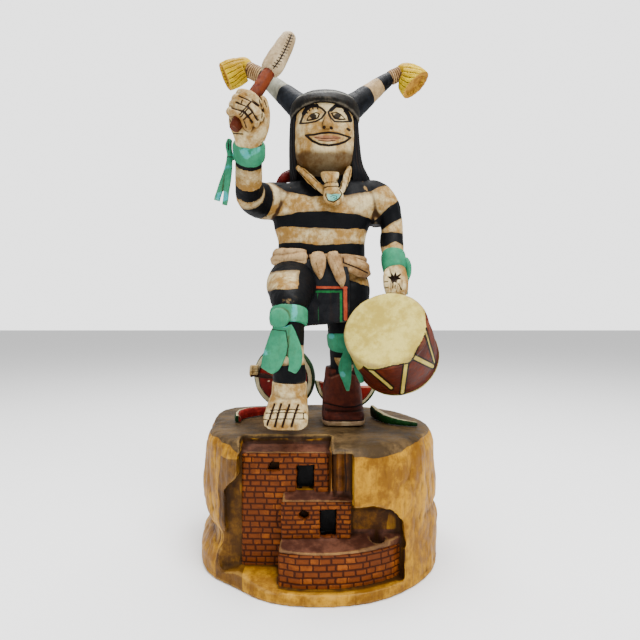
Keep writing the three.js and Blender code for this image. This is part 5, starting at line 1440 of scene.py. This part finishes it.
def make_drum(sizes, shades):
    """The drum: a barrel with rawhide over both ends, whose scalloped edge and laces are painted on."""
    def row(run, radius):
        """A ring of the drum at that run along its axis."""
        return [*(DRUM_FRONT + run * DRUM_AXIS), radius, radius]

    back = DRUM_RADIUS + DRUM_FLARE
    shell = limb([row(0, DRUM_RADIUS - 1.2), row(0.5, DRUM_RADIUS - 0.2), row(1.4, DRUM_RADIUS + 0.4),
                  row(2.8, DRUM_RADIUS + 0.5), row(3.4, DRUM_RADIUS + 0.1), row(9, DRUM_RADIUS + 0.5),
                  row(19, DRUM_RADIUS + 0.9), row(DRUM_LENGTH - 3.4, back - 0.5),
                  row(DRUM_LENGTH - 2.8, back + 0.1), row(DRUM_LENGTH - 0.8, back),
                  row(DRUM_LENGTH, back - 0.8)], 96)
    points, faces, normals = surface(4, [shell], 0.62)
    run, off, angle = along_line(points, DRUM_FRONT, DRUM_FRONT + DRUM_AXIS)
    places, scale = on_sheet(points)
    barrel = level(off, DRUM_RADIUS - 2.0, DRUM_RADIUS - 0.8)
    seen = (normals[:, 1] < 0.05) & (barrel > 0.5)
    wave = np.abs((angle * 7 / (2 * np.pi)) % 1 - 0.5) * 2
    hide_edge = 2.2 + 4.6 * wave
    near = hide_edge - run
    far = run - (DRUM_LENGTH - 2.6)
    swing = (angle * 7 / (2 * np.pi)) % 1
    zig = np.abs(swing - (run / DRUM_LENGTH - 0.15) * 0.5)
    zag = np.abs(swing - (1 - (run / DRUM_LENGTH - 0.15) * 0.5))
    hidden_lace = 1.0 - np.minimum(zig, zag) * 2 * np.pi * DRUM_RADIUS / 7
    sheet_lace = np.maximum.reduce([w - off_lines(places, [ln]) * scale for ln, w in LACES])
    edge_line = [(363.6, 366.6), (367.6, 369.4), (373.7, 370.4), (382, 368.6), (391.3, 365.9), (400, 364.6),
                 (409.7, 362.9), (413.6, 357.6), (416.3, 351.7), (420.6, 341), (425.8, 328.3)]
    skin_side = within(places,
                       edge_line + [(425, 300), (385, 285), (345, 300), (340, 350), (356, 372)]) * scale
    hide = np.where(seen, np.maximum(skin_side, np.maximum(sheet_lace, far)),
                    np.maximum.reduce([near, far, hidden_lace]))
    hide = np.where(barrel > 0.5, hide, 3.0)
    border = np.where(seen, np.maximum(0.42 - np.abs(np.maximum(sheet_lace, -3) + 0.1),
                                       0.36 - off_lines(places, [edge_line]) * scale),
                      np.maximum(0.36 - np.abs(hidden_lace), 0.3 - np.abs(near)))
    border = np.where(seen & (skin_side > 0.6), -9, border)
    border = np.maximum(border, 0.26 - np.abs(far))
    border = np.where(barrel > 0.5, border, NOWHERE)
    cut = 0.30 * facets(points, (9, 9, 9), 201) * barrel
    cut += 0.10 * (1 - barrel) * facets(points, (14, 14, 14), 202)
    cut += 0.04 * (1 + drift(points, 1.6, 203))
    points = carve(points, normals, cut, sizes)
    points = points + normals * (0.1 * level(hide, -0.1, 0.2))[:, None]
    speck = 0.55 * drift(points, 1.1, 204) + 0.3 * drift(points, 5, 205) - 0.62
    return piece("drum_body", points, faces, finish(
        "drum_paint", (0.17, 0.043, 0.018), (0.085, 0.020, 0.010), stain=(0.04, 0.012, 0.006), age=0.7,
        wear=0.4, lines=(0.010, 0.006, 0.004), coats=[("hide", (0.43, 0.345, 0.085), (0.60, 0.52, 0.18)),
                                            ("speck", (0.33, 0.25, 0.09), (0.40, 0.31, 0.12))]),
        "drum", {"hide": hide, "line": border, "speck": np.where(barrel > 0.5, -9, speck)})


# Melon

HALF_MIDDLE = np.array([-24.3, 41.5, 89.8])
HALF_TURN = np.array([0.3, 0.94, 0.08]) / np.linalg.norm([0.3, 0.94, 0.08])


def melon_finish(name):
    """Melon paint: green skin, a cream rind, a thin dark line, then red flesh with seeds."""
    return finish(name, (0.018, 0.085, 0.022), (0.006, 0.03, 0.010), stain=(0.01, 0.02, 0.008), age=0.6,
                  coats=[
        ("rind", (0.42, 0.36, 0.22), (0.60, 0.54, 0.38)),
        ("flesh", (0.16, 0.012, 0.010), (0.30, 0.035, 0.025)),
        ("seed", (0.50, 0.40, 0.28), (0.65, 0.55, 0.42))], lines=(0.012, 0.006, 0.005))


def make_melon(sizes, shades):
    """The standing half melon, the knife that lies against it, and the pieces cut from it."""
    made = []
    rows = [(-0.4, 19), (0, 20.6), (1, 21.2), (5, 20.8), (10, 18.3), (14.5, 13), (17.6, 4.4)]
    shell = limb([[*(HALF_MIDDLE + s * HALF_TURN), r, r] for s, r in rows], 72)
    points, faces, normals = surface(3, [shell], 0.62, [block(-60, 20, 0, 90, 30, GROUND)], floor=GROUND)
    _, off, angle = along_line(points, HALF_MIDDLE, HALF_MIDDLE + HALF_TURN)
    flat = normals @ HALF_TURN < -0.6
    wander = 0.3 * drift(points, 4, 211)
    rind = np.where(flat, 20.1 - off + wander, NOWHERE)
    flesh = np.where(flat, 16.8 - off + wander, NOWHERE)
    cells = np.stack([np.floor(off / 4.4), np.floor(angle / 0.62), 0 * off], 1).astype(np.int64)
    spot_r = (cells[:, 0] + 0.5 + 0.25 * scatter(cells, 212)) * 4.4
    spot_a = (cells[:, 1] + 0.5 + 0.25 * scatter(cells, 213)) * 0.62
    seed = 0.75 - np.hypot((off - spot_r) * 0.75, (angle - spot_a) * np.maximum(off, 3) * 1.3)
    seed = np.where(flat & (off < 13.6) & (off > 5) & (scatter(cells, 214) > 0.0), seed, NOWHERE)
    dark = np.where(flat, 0.4 - np.abs(off - 17.1 - wander), NOWHERE)
    cut = 0.2 * facets(points, (5, 5, 5), 215)
    points = points - normals * cut[:, None]
    made.append(piece("melon_half_piece", points, faces, melon_finish("melon_half_paint"),
                      "melon_half", {"rind": rind, "flesh": flesh, "seed": seed, "line": dark}))

    handle = limb([[-43.5, 43.8, 98, 2.3, 1.6], [-43.5, 43.8, 97.4, 2.7, 2], [-43.8, 43.8, 91.2, 2.7, 2],
                   [-43.6, 43.8, 90.4, 2.1, 1.5]], side=(1, 0, 0), power=4, spacing=0.3)
    blade = limb([[-44.6, 45.1, 91.7, 0.5, 1.5], [-35, 43.75, 90.4, 0.5, 1.6],
                  [-29.2, 42.05, 89.8, 0.4, 0.6]],
                 side=(0, 1, 0), spacing=0.3)
    points, faces, normals = surface(3, [handle, blade], 0.24)
    steel = np.maximum(points[:, 0] + 40.8, np.minimum(92.4 - points[:, 2], points[:, 0] + 46.4) - 0.8)
    line = drawn(points, normals,
                 [[(251, 369), (257.6, 369)], [(251, 372), (257.6, 371.6)], [(252.6, 366), (252.8, 374)]],
                 0.16)
    points = points - normals * (0.1 * facets(points, (2.4, 2.4, 2.4), 221))[:, None]
    made.append(piece("knife_piece", points, faces, finish(
        "knife_paint", shades.cream, shades.cream_dark, lines=(0.03, 0.012, 0.006), age=1.1,
        coats=[("steel", (0.030, 0.016, 0.012), (0.075, 0.03, 0.02))]), "knife",
        {"steel": steel, "line": line}, depth=0.2))

    disc = limb([[16.8, 34.6, 90, 19.4, 19.4], [16.8, 35, 90, 20.4, 20.4], [16.8, 38.4, 90, 20, 20],
                 [16.8, 40.4, 90, 17.2, 17.2]], 72)
    hollow_line = [(-10, 91.6), (-3, 89.8), (3, 88), (14, 85.6), (28, 84.8), (35, 85.6), (45, 87.6)]
    upper = limb([[x, 38, z + 22, 22.4, 22.0] for x, z in hollow_line], 40, side=(0, 1, 0), power=6)
    points, faces, normals = surface(3, [disc], 0.5, [upper, block(-20, 60, 0, 90, 30, GROUND)],
                                     floor=GROUND)
    off = np.hypot(points[:, 0] - 16.8, points[:, 2] - 90)
    face_on = (normals[:, 1] < -0.5) | (normals[:, 2] > 0.5)
    wander = 0.25 * drift(points, 4, 231)
    rind = np.where(face_on, 19.2 - off + wander, NOWHERE)
    flesh = np.where(face_on, 17.2 - off + wander, NOWHERE)
    dark = np.where(face_on, 0.3 - np.abs(off - 17.5 - wander), NOWHERE)
    points = points - normals * (0.18 * facets(points, (4, 4, 4), 232))[:, None]
    made.append(piece("melon_crescent_piece", points, faces, melon_finish("crescent_paint"),
                      "melon_crescent",
                      {"rind": rind, "flesh": flesh, "seed": np.full(len(points), NOWHERE), "line": dark}))

    outer = through([[-47.5, -6.5], [-48.4, -2], [-48, 4], [-45, 9.5], [-40.5, 14], [-35, 17.6], [-28, 20],
                     [-23, 20.6]], 0.5)
    points, faces, across = curved_slice(outer, (-16, -6),
                                         lambda t: 2 + 3.2 * np.sin(np.pi * np.minimum(1, 0.16 + t * 0.75)),
                                         lambda t: 2 + 2.6 * np.sin(np.pi * np.minimum(1, 0.15 + t * 0.8)),
                                         0.25)
    made.append(slice_piece("melon_slice_piece", points, faces, across, "melon_slice", 241,
                            0.9, 1.7))

    outer = through([[30.2, 12], [31.2, 6], [33.2, -2], [36.6, -9.6], [42, -15], [48, -17.8],
                     [52.6, -18.4]], 0.5)
    points, faces, across = curved_slice(
        outer, (56, 12), lambda t: 6.6 - 4.4 * t,
        lambda t: 1.4 + 3 * np.sin(np.pi * np.minimum(0.96, 0.1 + 0.85 * t)), 0.0)
    made.append(slice_piece("melon_rind_piece", points, faces, across, "melon_rind", 251, 0.5,
                            3.0))
    return made


def curved_slice(outer, middle, height, thickness, lean):
    """A lying slice: an outline on the ground, with a top strip set in towards the middle.

    Also gives how far each place lies in from the outer side.
    """
    t = np.linspace(0, 1, len(outer))
    inward = np.array(middle, float) - outer
    inward /= np.linalg.norm(inward, axis=1, keepdims=True)
    high, thick = height(t), thickness(t)
    shares = [(0, 0.0), (1, 0.0), (1, 0.5), (0.86, 0.86), (0.7, 1.0), (0.35, 1.0), (0.05, 1.0),
              (-0.12, 0.86), (-0.16, 0.5)]
    rings = []
    for share, up in shares:
        place = outer + inward * (thick * (share + lean * up * 0.3 * (share < 0.5)))[:, None]
        rings.append(np.column_stack([place, GROUND + high * up]))
    rings = np.stack(rings, 1)
    points, faces, _ = surface(3, [skin(rings)], 0.3, floor=GROUND)
    off = off_lines(points[:, :2], [outer])
    near = np.argmin(np.linalg.norm(points[:, None, :2] - outer[None, ::4], axis=2), 1) * 4
    side = np.sign(np.einsum("ij,ij->i", np.array(middle, float) - points[:, :2],
                             points[:, :2] - outer[near]))
    return points, faces, off * np.where(side == 0, 1, side)


def slice_piece(name, points, faces, across, node, seed, rim, flesh_from):
    """A lying slice with its rind and flesh by the distance in from its outer side."""
    normals = normals_of(points, faces)
    wander = 0.2 * drift(points, 3, seed)
    up = normals[:, 2] > 0.35
    inner = (across > rim + 0.6) & ~up
    rind = np.where(up, across - rim * 0.5 + wander, np.where(inner, 1.0, NOWHERE))
    flesh = np.where(inner | up, across - flesh_from + wander, NOWHERE)
    points = points - normals * (0.14 * facets(points, (3, 3, 3), seed + 1))[:, None]
    points[:, 2] = np.maximum(points[:, 2], GROUND)
    line = np.where(up, 0.16 - np.abs(across - flesh_from - wander), NOWHERE)
    return piece(name, points, faces, melon_finish(name + "_paint"), node,
                 {"rind": rind, "flesh": flesh, "seed": np.full(len(points), NOWHERE), "line": line},
                 depth=0.25)


# Stage

# Lens and sensor width in millimetres, and how bright the room is and looks behind the doll
LENS = 28.56
SENSOR = 36
ROOM_LIGHT = 0.95
BACKDROP_LIGHT = 2.6
# Lamps: name, place and size in metres, power in watts, and turn in degrees
LAMPS = [
    ("key", (0.40, -0.60, 0.85), 0.45, 13.0, (42, 0, 32)),
    ("fill", (-0.6, -0.5, 0.35), 0.5, 2.0, (65, 0, -50)),
    ("top", (0.0, 0.05, 0.9), 0.5, 15.0, (0, 0, 0)),
]


def make_stage():
    """A plain pale floor, soft lights and the camera at the photograph's place."""
    floor = bpy.data.objects.new("floor", mesh_of("floor", np.array(
        [[-6000, -6000, 0], [6000, -6000, 0], [6000, 6000, 0], [-6000, 6000, 0]],
        float), np.array([[0, 1, 2, 3]])))
    bpy.context.scene.collection.objects.link(floor)
    web = Web("floor_white")
    shader = web.add("ShaderNodeBsdfPrincipled", {"Base Color": (0.86, 0.86, 0.86, 1), "Roughness": 0.9})
    web.add("ShaderNodeOutputMaterial", {"Surface": shader.outputs[0]})
    floor.data.materials.append(web.material)

    world = bpy.data.worlds.new("soft_room")
    bpy.context.scene.world = world
    world.use_nodes = True
    nodes, links = world.node_tree.nodes, world.node_tree.links
    soft = nodes["Background"]
    soft.inputs[0].default_value = (1, 1, 1, 1)
    soft.inputs[1].default_value = ROOM_LIGHT
    backdrop = nodes.new("ShaderNodeBackground")
    backdrop.inputs[0].default_value = (1, 1, 1, 1)
    backdrop.inputs[1].default_value = BACKDROP_LIGHT
    seen = nodes.new("ShaderNodeLightPath")
    both = nodes.new("ShaderNodeMixShader")
    links.new(seen.outputs["Is Camera Ray"], both.inputs[0])
    links.new(soft.outputs[0], both.inputs[1])
    links.new(backdrop.outputs[0], both.inputs[2])
    links.new(both.outputs[0], nodes["World Output"].inputs[0])

    for name, place, size, power, turn in LAMPS:
        lamp = bpy.data.lights.new(name, "AREA")
        lamp.energy = power
        lamp.size = size
        thing = bpy.data.objects.new(name, lamp)
        thing.location = place
        thing.rotation_euler = [math.radians(v) for v in turn]
        bpy.context.scene.collection.objects.link(thing)

    lens = bpy.data.cameras.new("camera")
    lens.lens = LENS
    lens.sensor_width = SENSOR
    lens.clip_start = 0.01
    eye = bpy.data.objects.new("camera", lens)
    eye.location = (0, -EYE_DISTANCE / 1000, SHEET_HEIGHT / 1000)
    eye.rotation_euler = (math.radians(90), 0, 0)
    bpy.context.scene.collection.objects.link(eye)
    bpy.context.scene.camera = eye


# Add-on

def shade_setting(name, description, value):
    """A paint that the panel shows as a colour."""
    return bpy.props.FloatVectorProperty(name=name, description=description, default=value, subtype="COLOR",
                                         size=3, min=0, max=1)


def size_setting(name, description, value):
    """A length that the panel shows, in metres."""
    return bpy.props.FloatProperty(name=name, description=description, default=value, unit="LENGTH",
                                   subtype="DISTANCE", min=0.0001, precision=5)


class CarvedDollShades(bpy.types.PropertyGroup):
    """The paints of the doll."""
    cream: shade_setting("Cream", "Paint of the skin and pale bands", (0.62, 0.53, 0.33))
    cream_dark: shade_setting("Dark cream", "Cream paint where it is darkest", (0.32, 0.195, 0.062))
    black: shade_setting("Black", "Paint of the dark bands", (0.0035, 0.0045, 0.0070))
    turquoise: shade_setting("Turquoise", "Paint of the cuffs, knee bands and ties", (0.062, 0.30, 0.175))
    yellow: shade_setting("Yellow", "Paint of the corn-husk tassels", (0.64, 0.48, 0.008))
    rock: shade_setting("Rock", "Paint of the rock", (0.50, 0.29, 0.024))
    brick: shade_setting("Brick", "Paint of the house walls", (0.215, 0.068, 0.014))


class CarvedDollSizes(bpy.types.PropertyGroup):
    """How fine the pieces are and how deep the knife marks go."""
    carving: size_setting("Carving depth", "Depth of the knife marks", 0.001)
    rock_net: size_setting("Rock net", "Size of the faces of the rock", 0.0009)
    wall_net: size_setting("Wall net", "Size of the faces of the brick walls", 0.00032)
    body_net: size_setting("Body net", "Size of the faces of the body", 0.00068)
    face_net: size_setting("Face net", "Size of the faces of the head", 0.00030)
    hand_net: size_setting("Hand net", "Size of the faces of the hands", 0.00030)
    foot_net: size_setting("Foot net", "Size of the faces of the bare foot", 0.00038)
    tie_net: size_setting("Tie net", "Size of the faces of the cuffs and ties", 0.00042)


def settings(context):
    """The sizes and the paints that are set in the panel."""
    return context.scene.carved_doll_sizes, context.scene.carved_doll_shades


class CARVEDDOLL_OT_base(bpy.types.Operator):
    """Make the rock base and the brick walls of the pueblo"""
    bl_idname = "carveddoll.base"
    bl_label = "Rock base and pueblo"

    def execute(self, context):
        sizes, shades = settings(context)
        make_rock(sizes, shades)
        for n, (name, spec) in enumerate(WALLS.items()):
            make_wall(name, spec, sizes, shades, 300 + 20 * n)
        return {"FINISHED"}


class CARVEDDOLL_OT_body(bpy.types.Operator):
    """Make the striped body with its arms and legs"""
    bl_idname = "carveddoll.body"
    bl_label = "Body"

    def execute(self, context):
        make_body(*settings(context))
        return {"FINISHED"}


class CARVEDDOLL_OT_head(bpy.types.Operator):
    """Make the face, the hair and the cap"""
    bl_idname = "carveddoll.head"
    bl_label = "Head"

    def execute(self, context):
        make_face(*settings(context))
        make_hair(*settings(context))
        make_cap(*settings(context))
        return {"FINISHED"}


class CARVEDDOLL_OT_neckwear(bpy.types.Operator):
    """Make the scarf, the neckerchief, its slide and the pendant"""
    bl_idname = "carveddoll.neckwear"
    bl_label = "Neckwear"

    def execute(self, context):
        make_neckwear(*settings(context))
        return {"FINISHED"}


class CARVEDDOLL_OT_hands(bpy.types.Operator):
    """Make the raised fist and the lowered hand"""
    bl_idname = "carveddoll.hands"
    bl_label = "Hands"

    def execute(self, context):
        make_fist(*settings(context))
        make_lowered_hand(*settings(context))
        return {"FINISHED"}


class CARVEDDOLL_OT_ties(bpy.types.Operator):
    """Make the turquoise cuffs, knee bands and hanging ties"""
    bl_idname = "carveddoll.ties"
    bl_label = "Cuffs, knee bands and ties"

    def execute(self, context):
        make_ties(*settings(context))
        return {"FINISHED"}


class CARVEDDOLL_OT_clothing(bpy.types.Operator):
    """Make the belt and the breechcloth"""
    bl_idname = "carveddoll.clothing"
    bl_label = "Belt and breechcloth"

    def execute(self, context):
        make_clothing(*settings(context))
        return {"FINISHED"}


class CARVEDDOLL_OT_feet(bpy.types.Operator):
    """Make the bare foot and the moccasin"""
    bl_idname = "carveddoll.feet"
    bl_label = "Feet"

    def execute(self, context):
        make_bare_foot(*settings(context))
        make_moccasin(*settings(context))
        return {"FINISHED"}


class CARVEDDOLL_OT_horns(bpy.types.Operator):
    """Make both striped horns with their wraps and tassels"""
    bl_idname = "carveddoll.horns"
    bl_label = "Horns"

    def execute(self, context):
        for side, spec in HORNS.items():
            make_horn(side, spec, *settings(context))
        return {"FINISHED"}


class CARVEDDOLL_OT_beater(bpy.types.Operator):
    """Make the drum beater"""
    bl_idname = "carveddoll.beater"
    bl_label = "Beater"

    def execute(self, context):
        make_beater(*settings(context))
        return {"FINISHED"}


class CARVEDDOLL_OT_drum(bpy.types.Operator):
    """Make the drum"""
    bl_idname = "carveddoll.drum"
    bl_label = "Drum"

    def execute(self, context):
        make_drum(*settings(context))
        return {"FINISHED"}


class CARVEDDOLL_OT_melon(bpy.types.Operator):
    """Make the half melon, the knife and the slices"""
    bl_idname = "carveddoll.melon"
    bl_label = "Melon and knife"

    def execute(self, context):
        make_melon(*settings(context))
        return {"FINISHED"}


class CARVEDDOLL_OT_stage(bpy.types.Operator):
    """Make the floor, the lights and the camera"""
    bl_idname = "carveddoll.stage"
    bl_label = "Stage"

    def execute(self, context):
        make_stage()
        return {"FINISHED"}


STEPS = (CARVEDDOLL_OT_stage, CARVEDDOLL_OT_base, CARVEDDOLL_OT_body, CARVEDDOLL_OT_head,
         CARVEDDOLL_OT_neckwear, CARVEDDOLL_OT_hands, CARVEDDOLL_OT_ties, CARVEDDOLL_OT_clothing,
         CARVEDDOLL_OT_feet, CARVEDDOLL_OT_horns, CARVEDDOLL_OT_beater, CARVEDDOLL_OT_drum,
         CARVEDDOLL_OT_melon)


class CARVEDDOLL_PT_panel(bpy.types.Panel):
    """Sizes, paints and pieces of the carved doll"""
    bl_idname = "CARVEDDOLL_PT_panel"
    bl_label = "Carved doll"
    bl_space_type = "VIEW_3D"
    bl_region_type = "UI"
    bl_category = "Carved doll"

    def draw(self, context):
        for group in settings(context):
            box = self.layout.box()
            for key in group.__annotations__:
                box.prop(group, key)
        for step in STEPS:
            self.layout.operator(step.bl_idname)


CLASSES = (CarvedDollShades, CarvedDollSizes, *STEPS, CARVEDDOLL_PT_panel)


def register():
    for cls in CLASSES:
        bpy.utils.register_class(cls)
    bpy.types.Scene.carved_doll_sizes = bpy.props.PointerProperty(type=CarvedDollSizes)
    bpy.types.Scene.carved_doll_shades = bpy.props.PointerProperty(type=CarvedDollShades)


def unregister():
    del bpy.types.Scene.carved_doll_shades
    del bpy.types.Scene.carved_doll_sizes
    for cls in reversed(CLASSES):
        bpy.utils.unregister_class(cls)


def main():
    """Make every piece in order."""
    register()
    for step in STEPS:
        group, name = step.bl_idname.split(".")
        getattr(getattr(bpy.ops, group), name)()


if __name__ == "__main__":
    main()
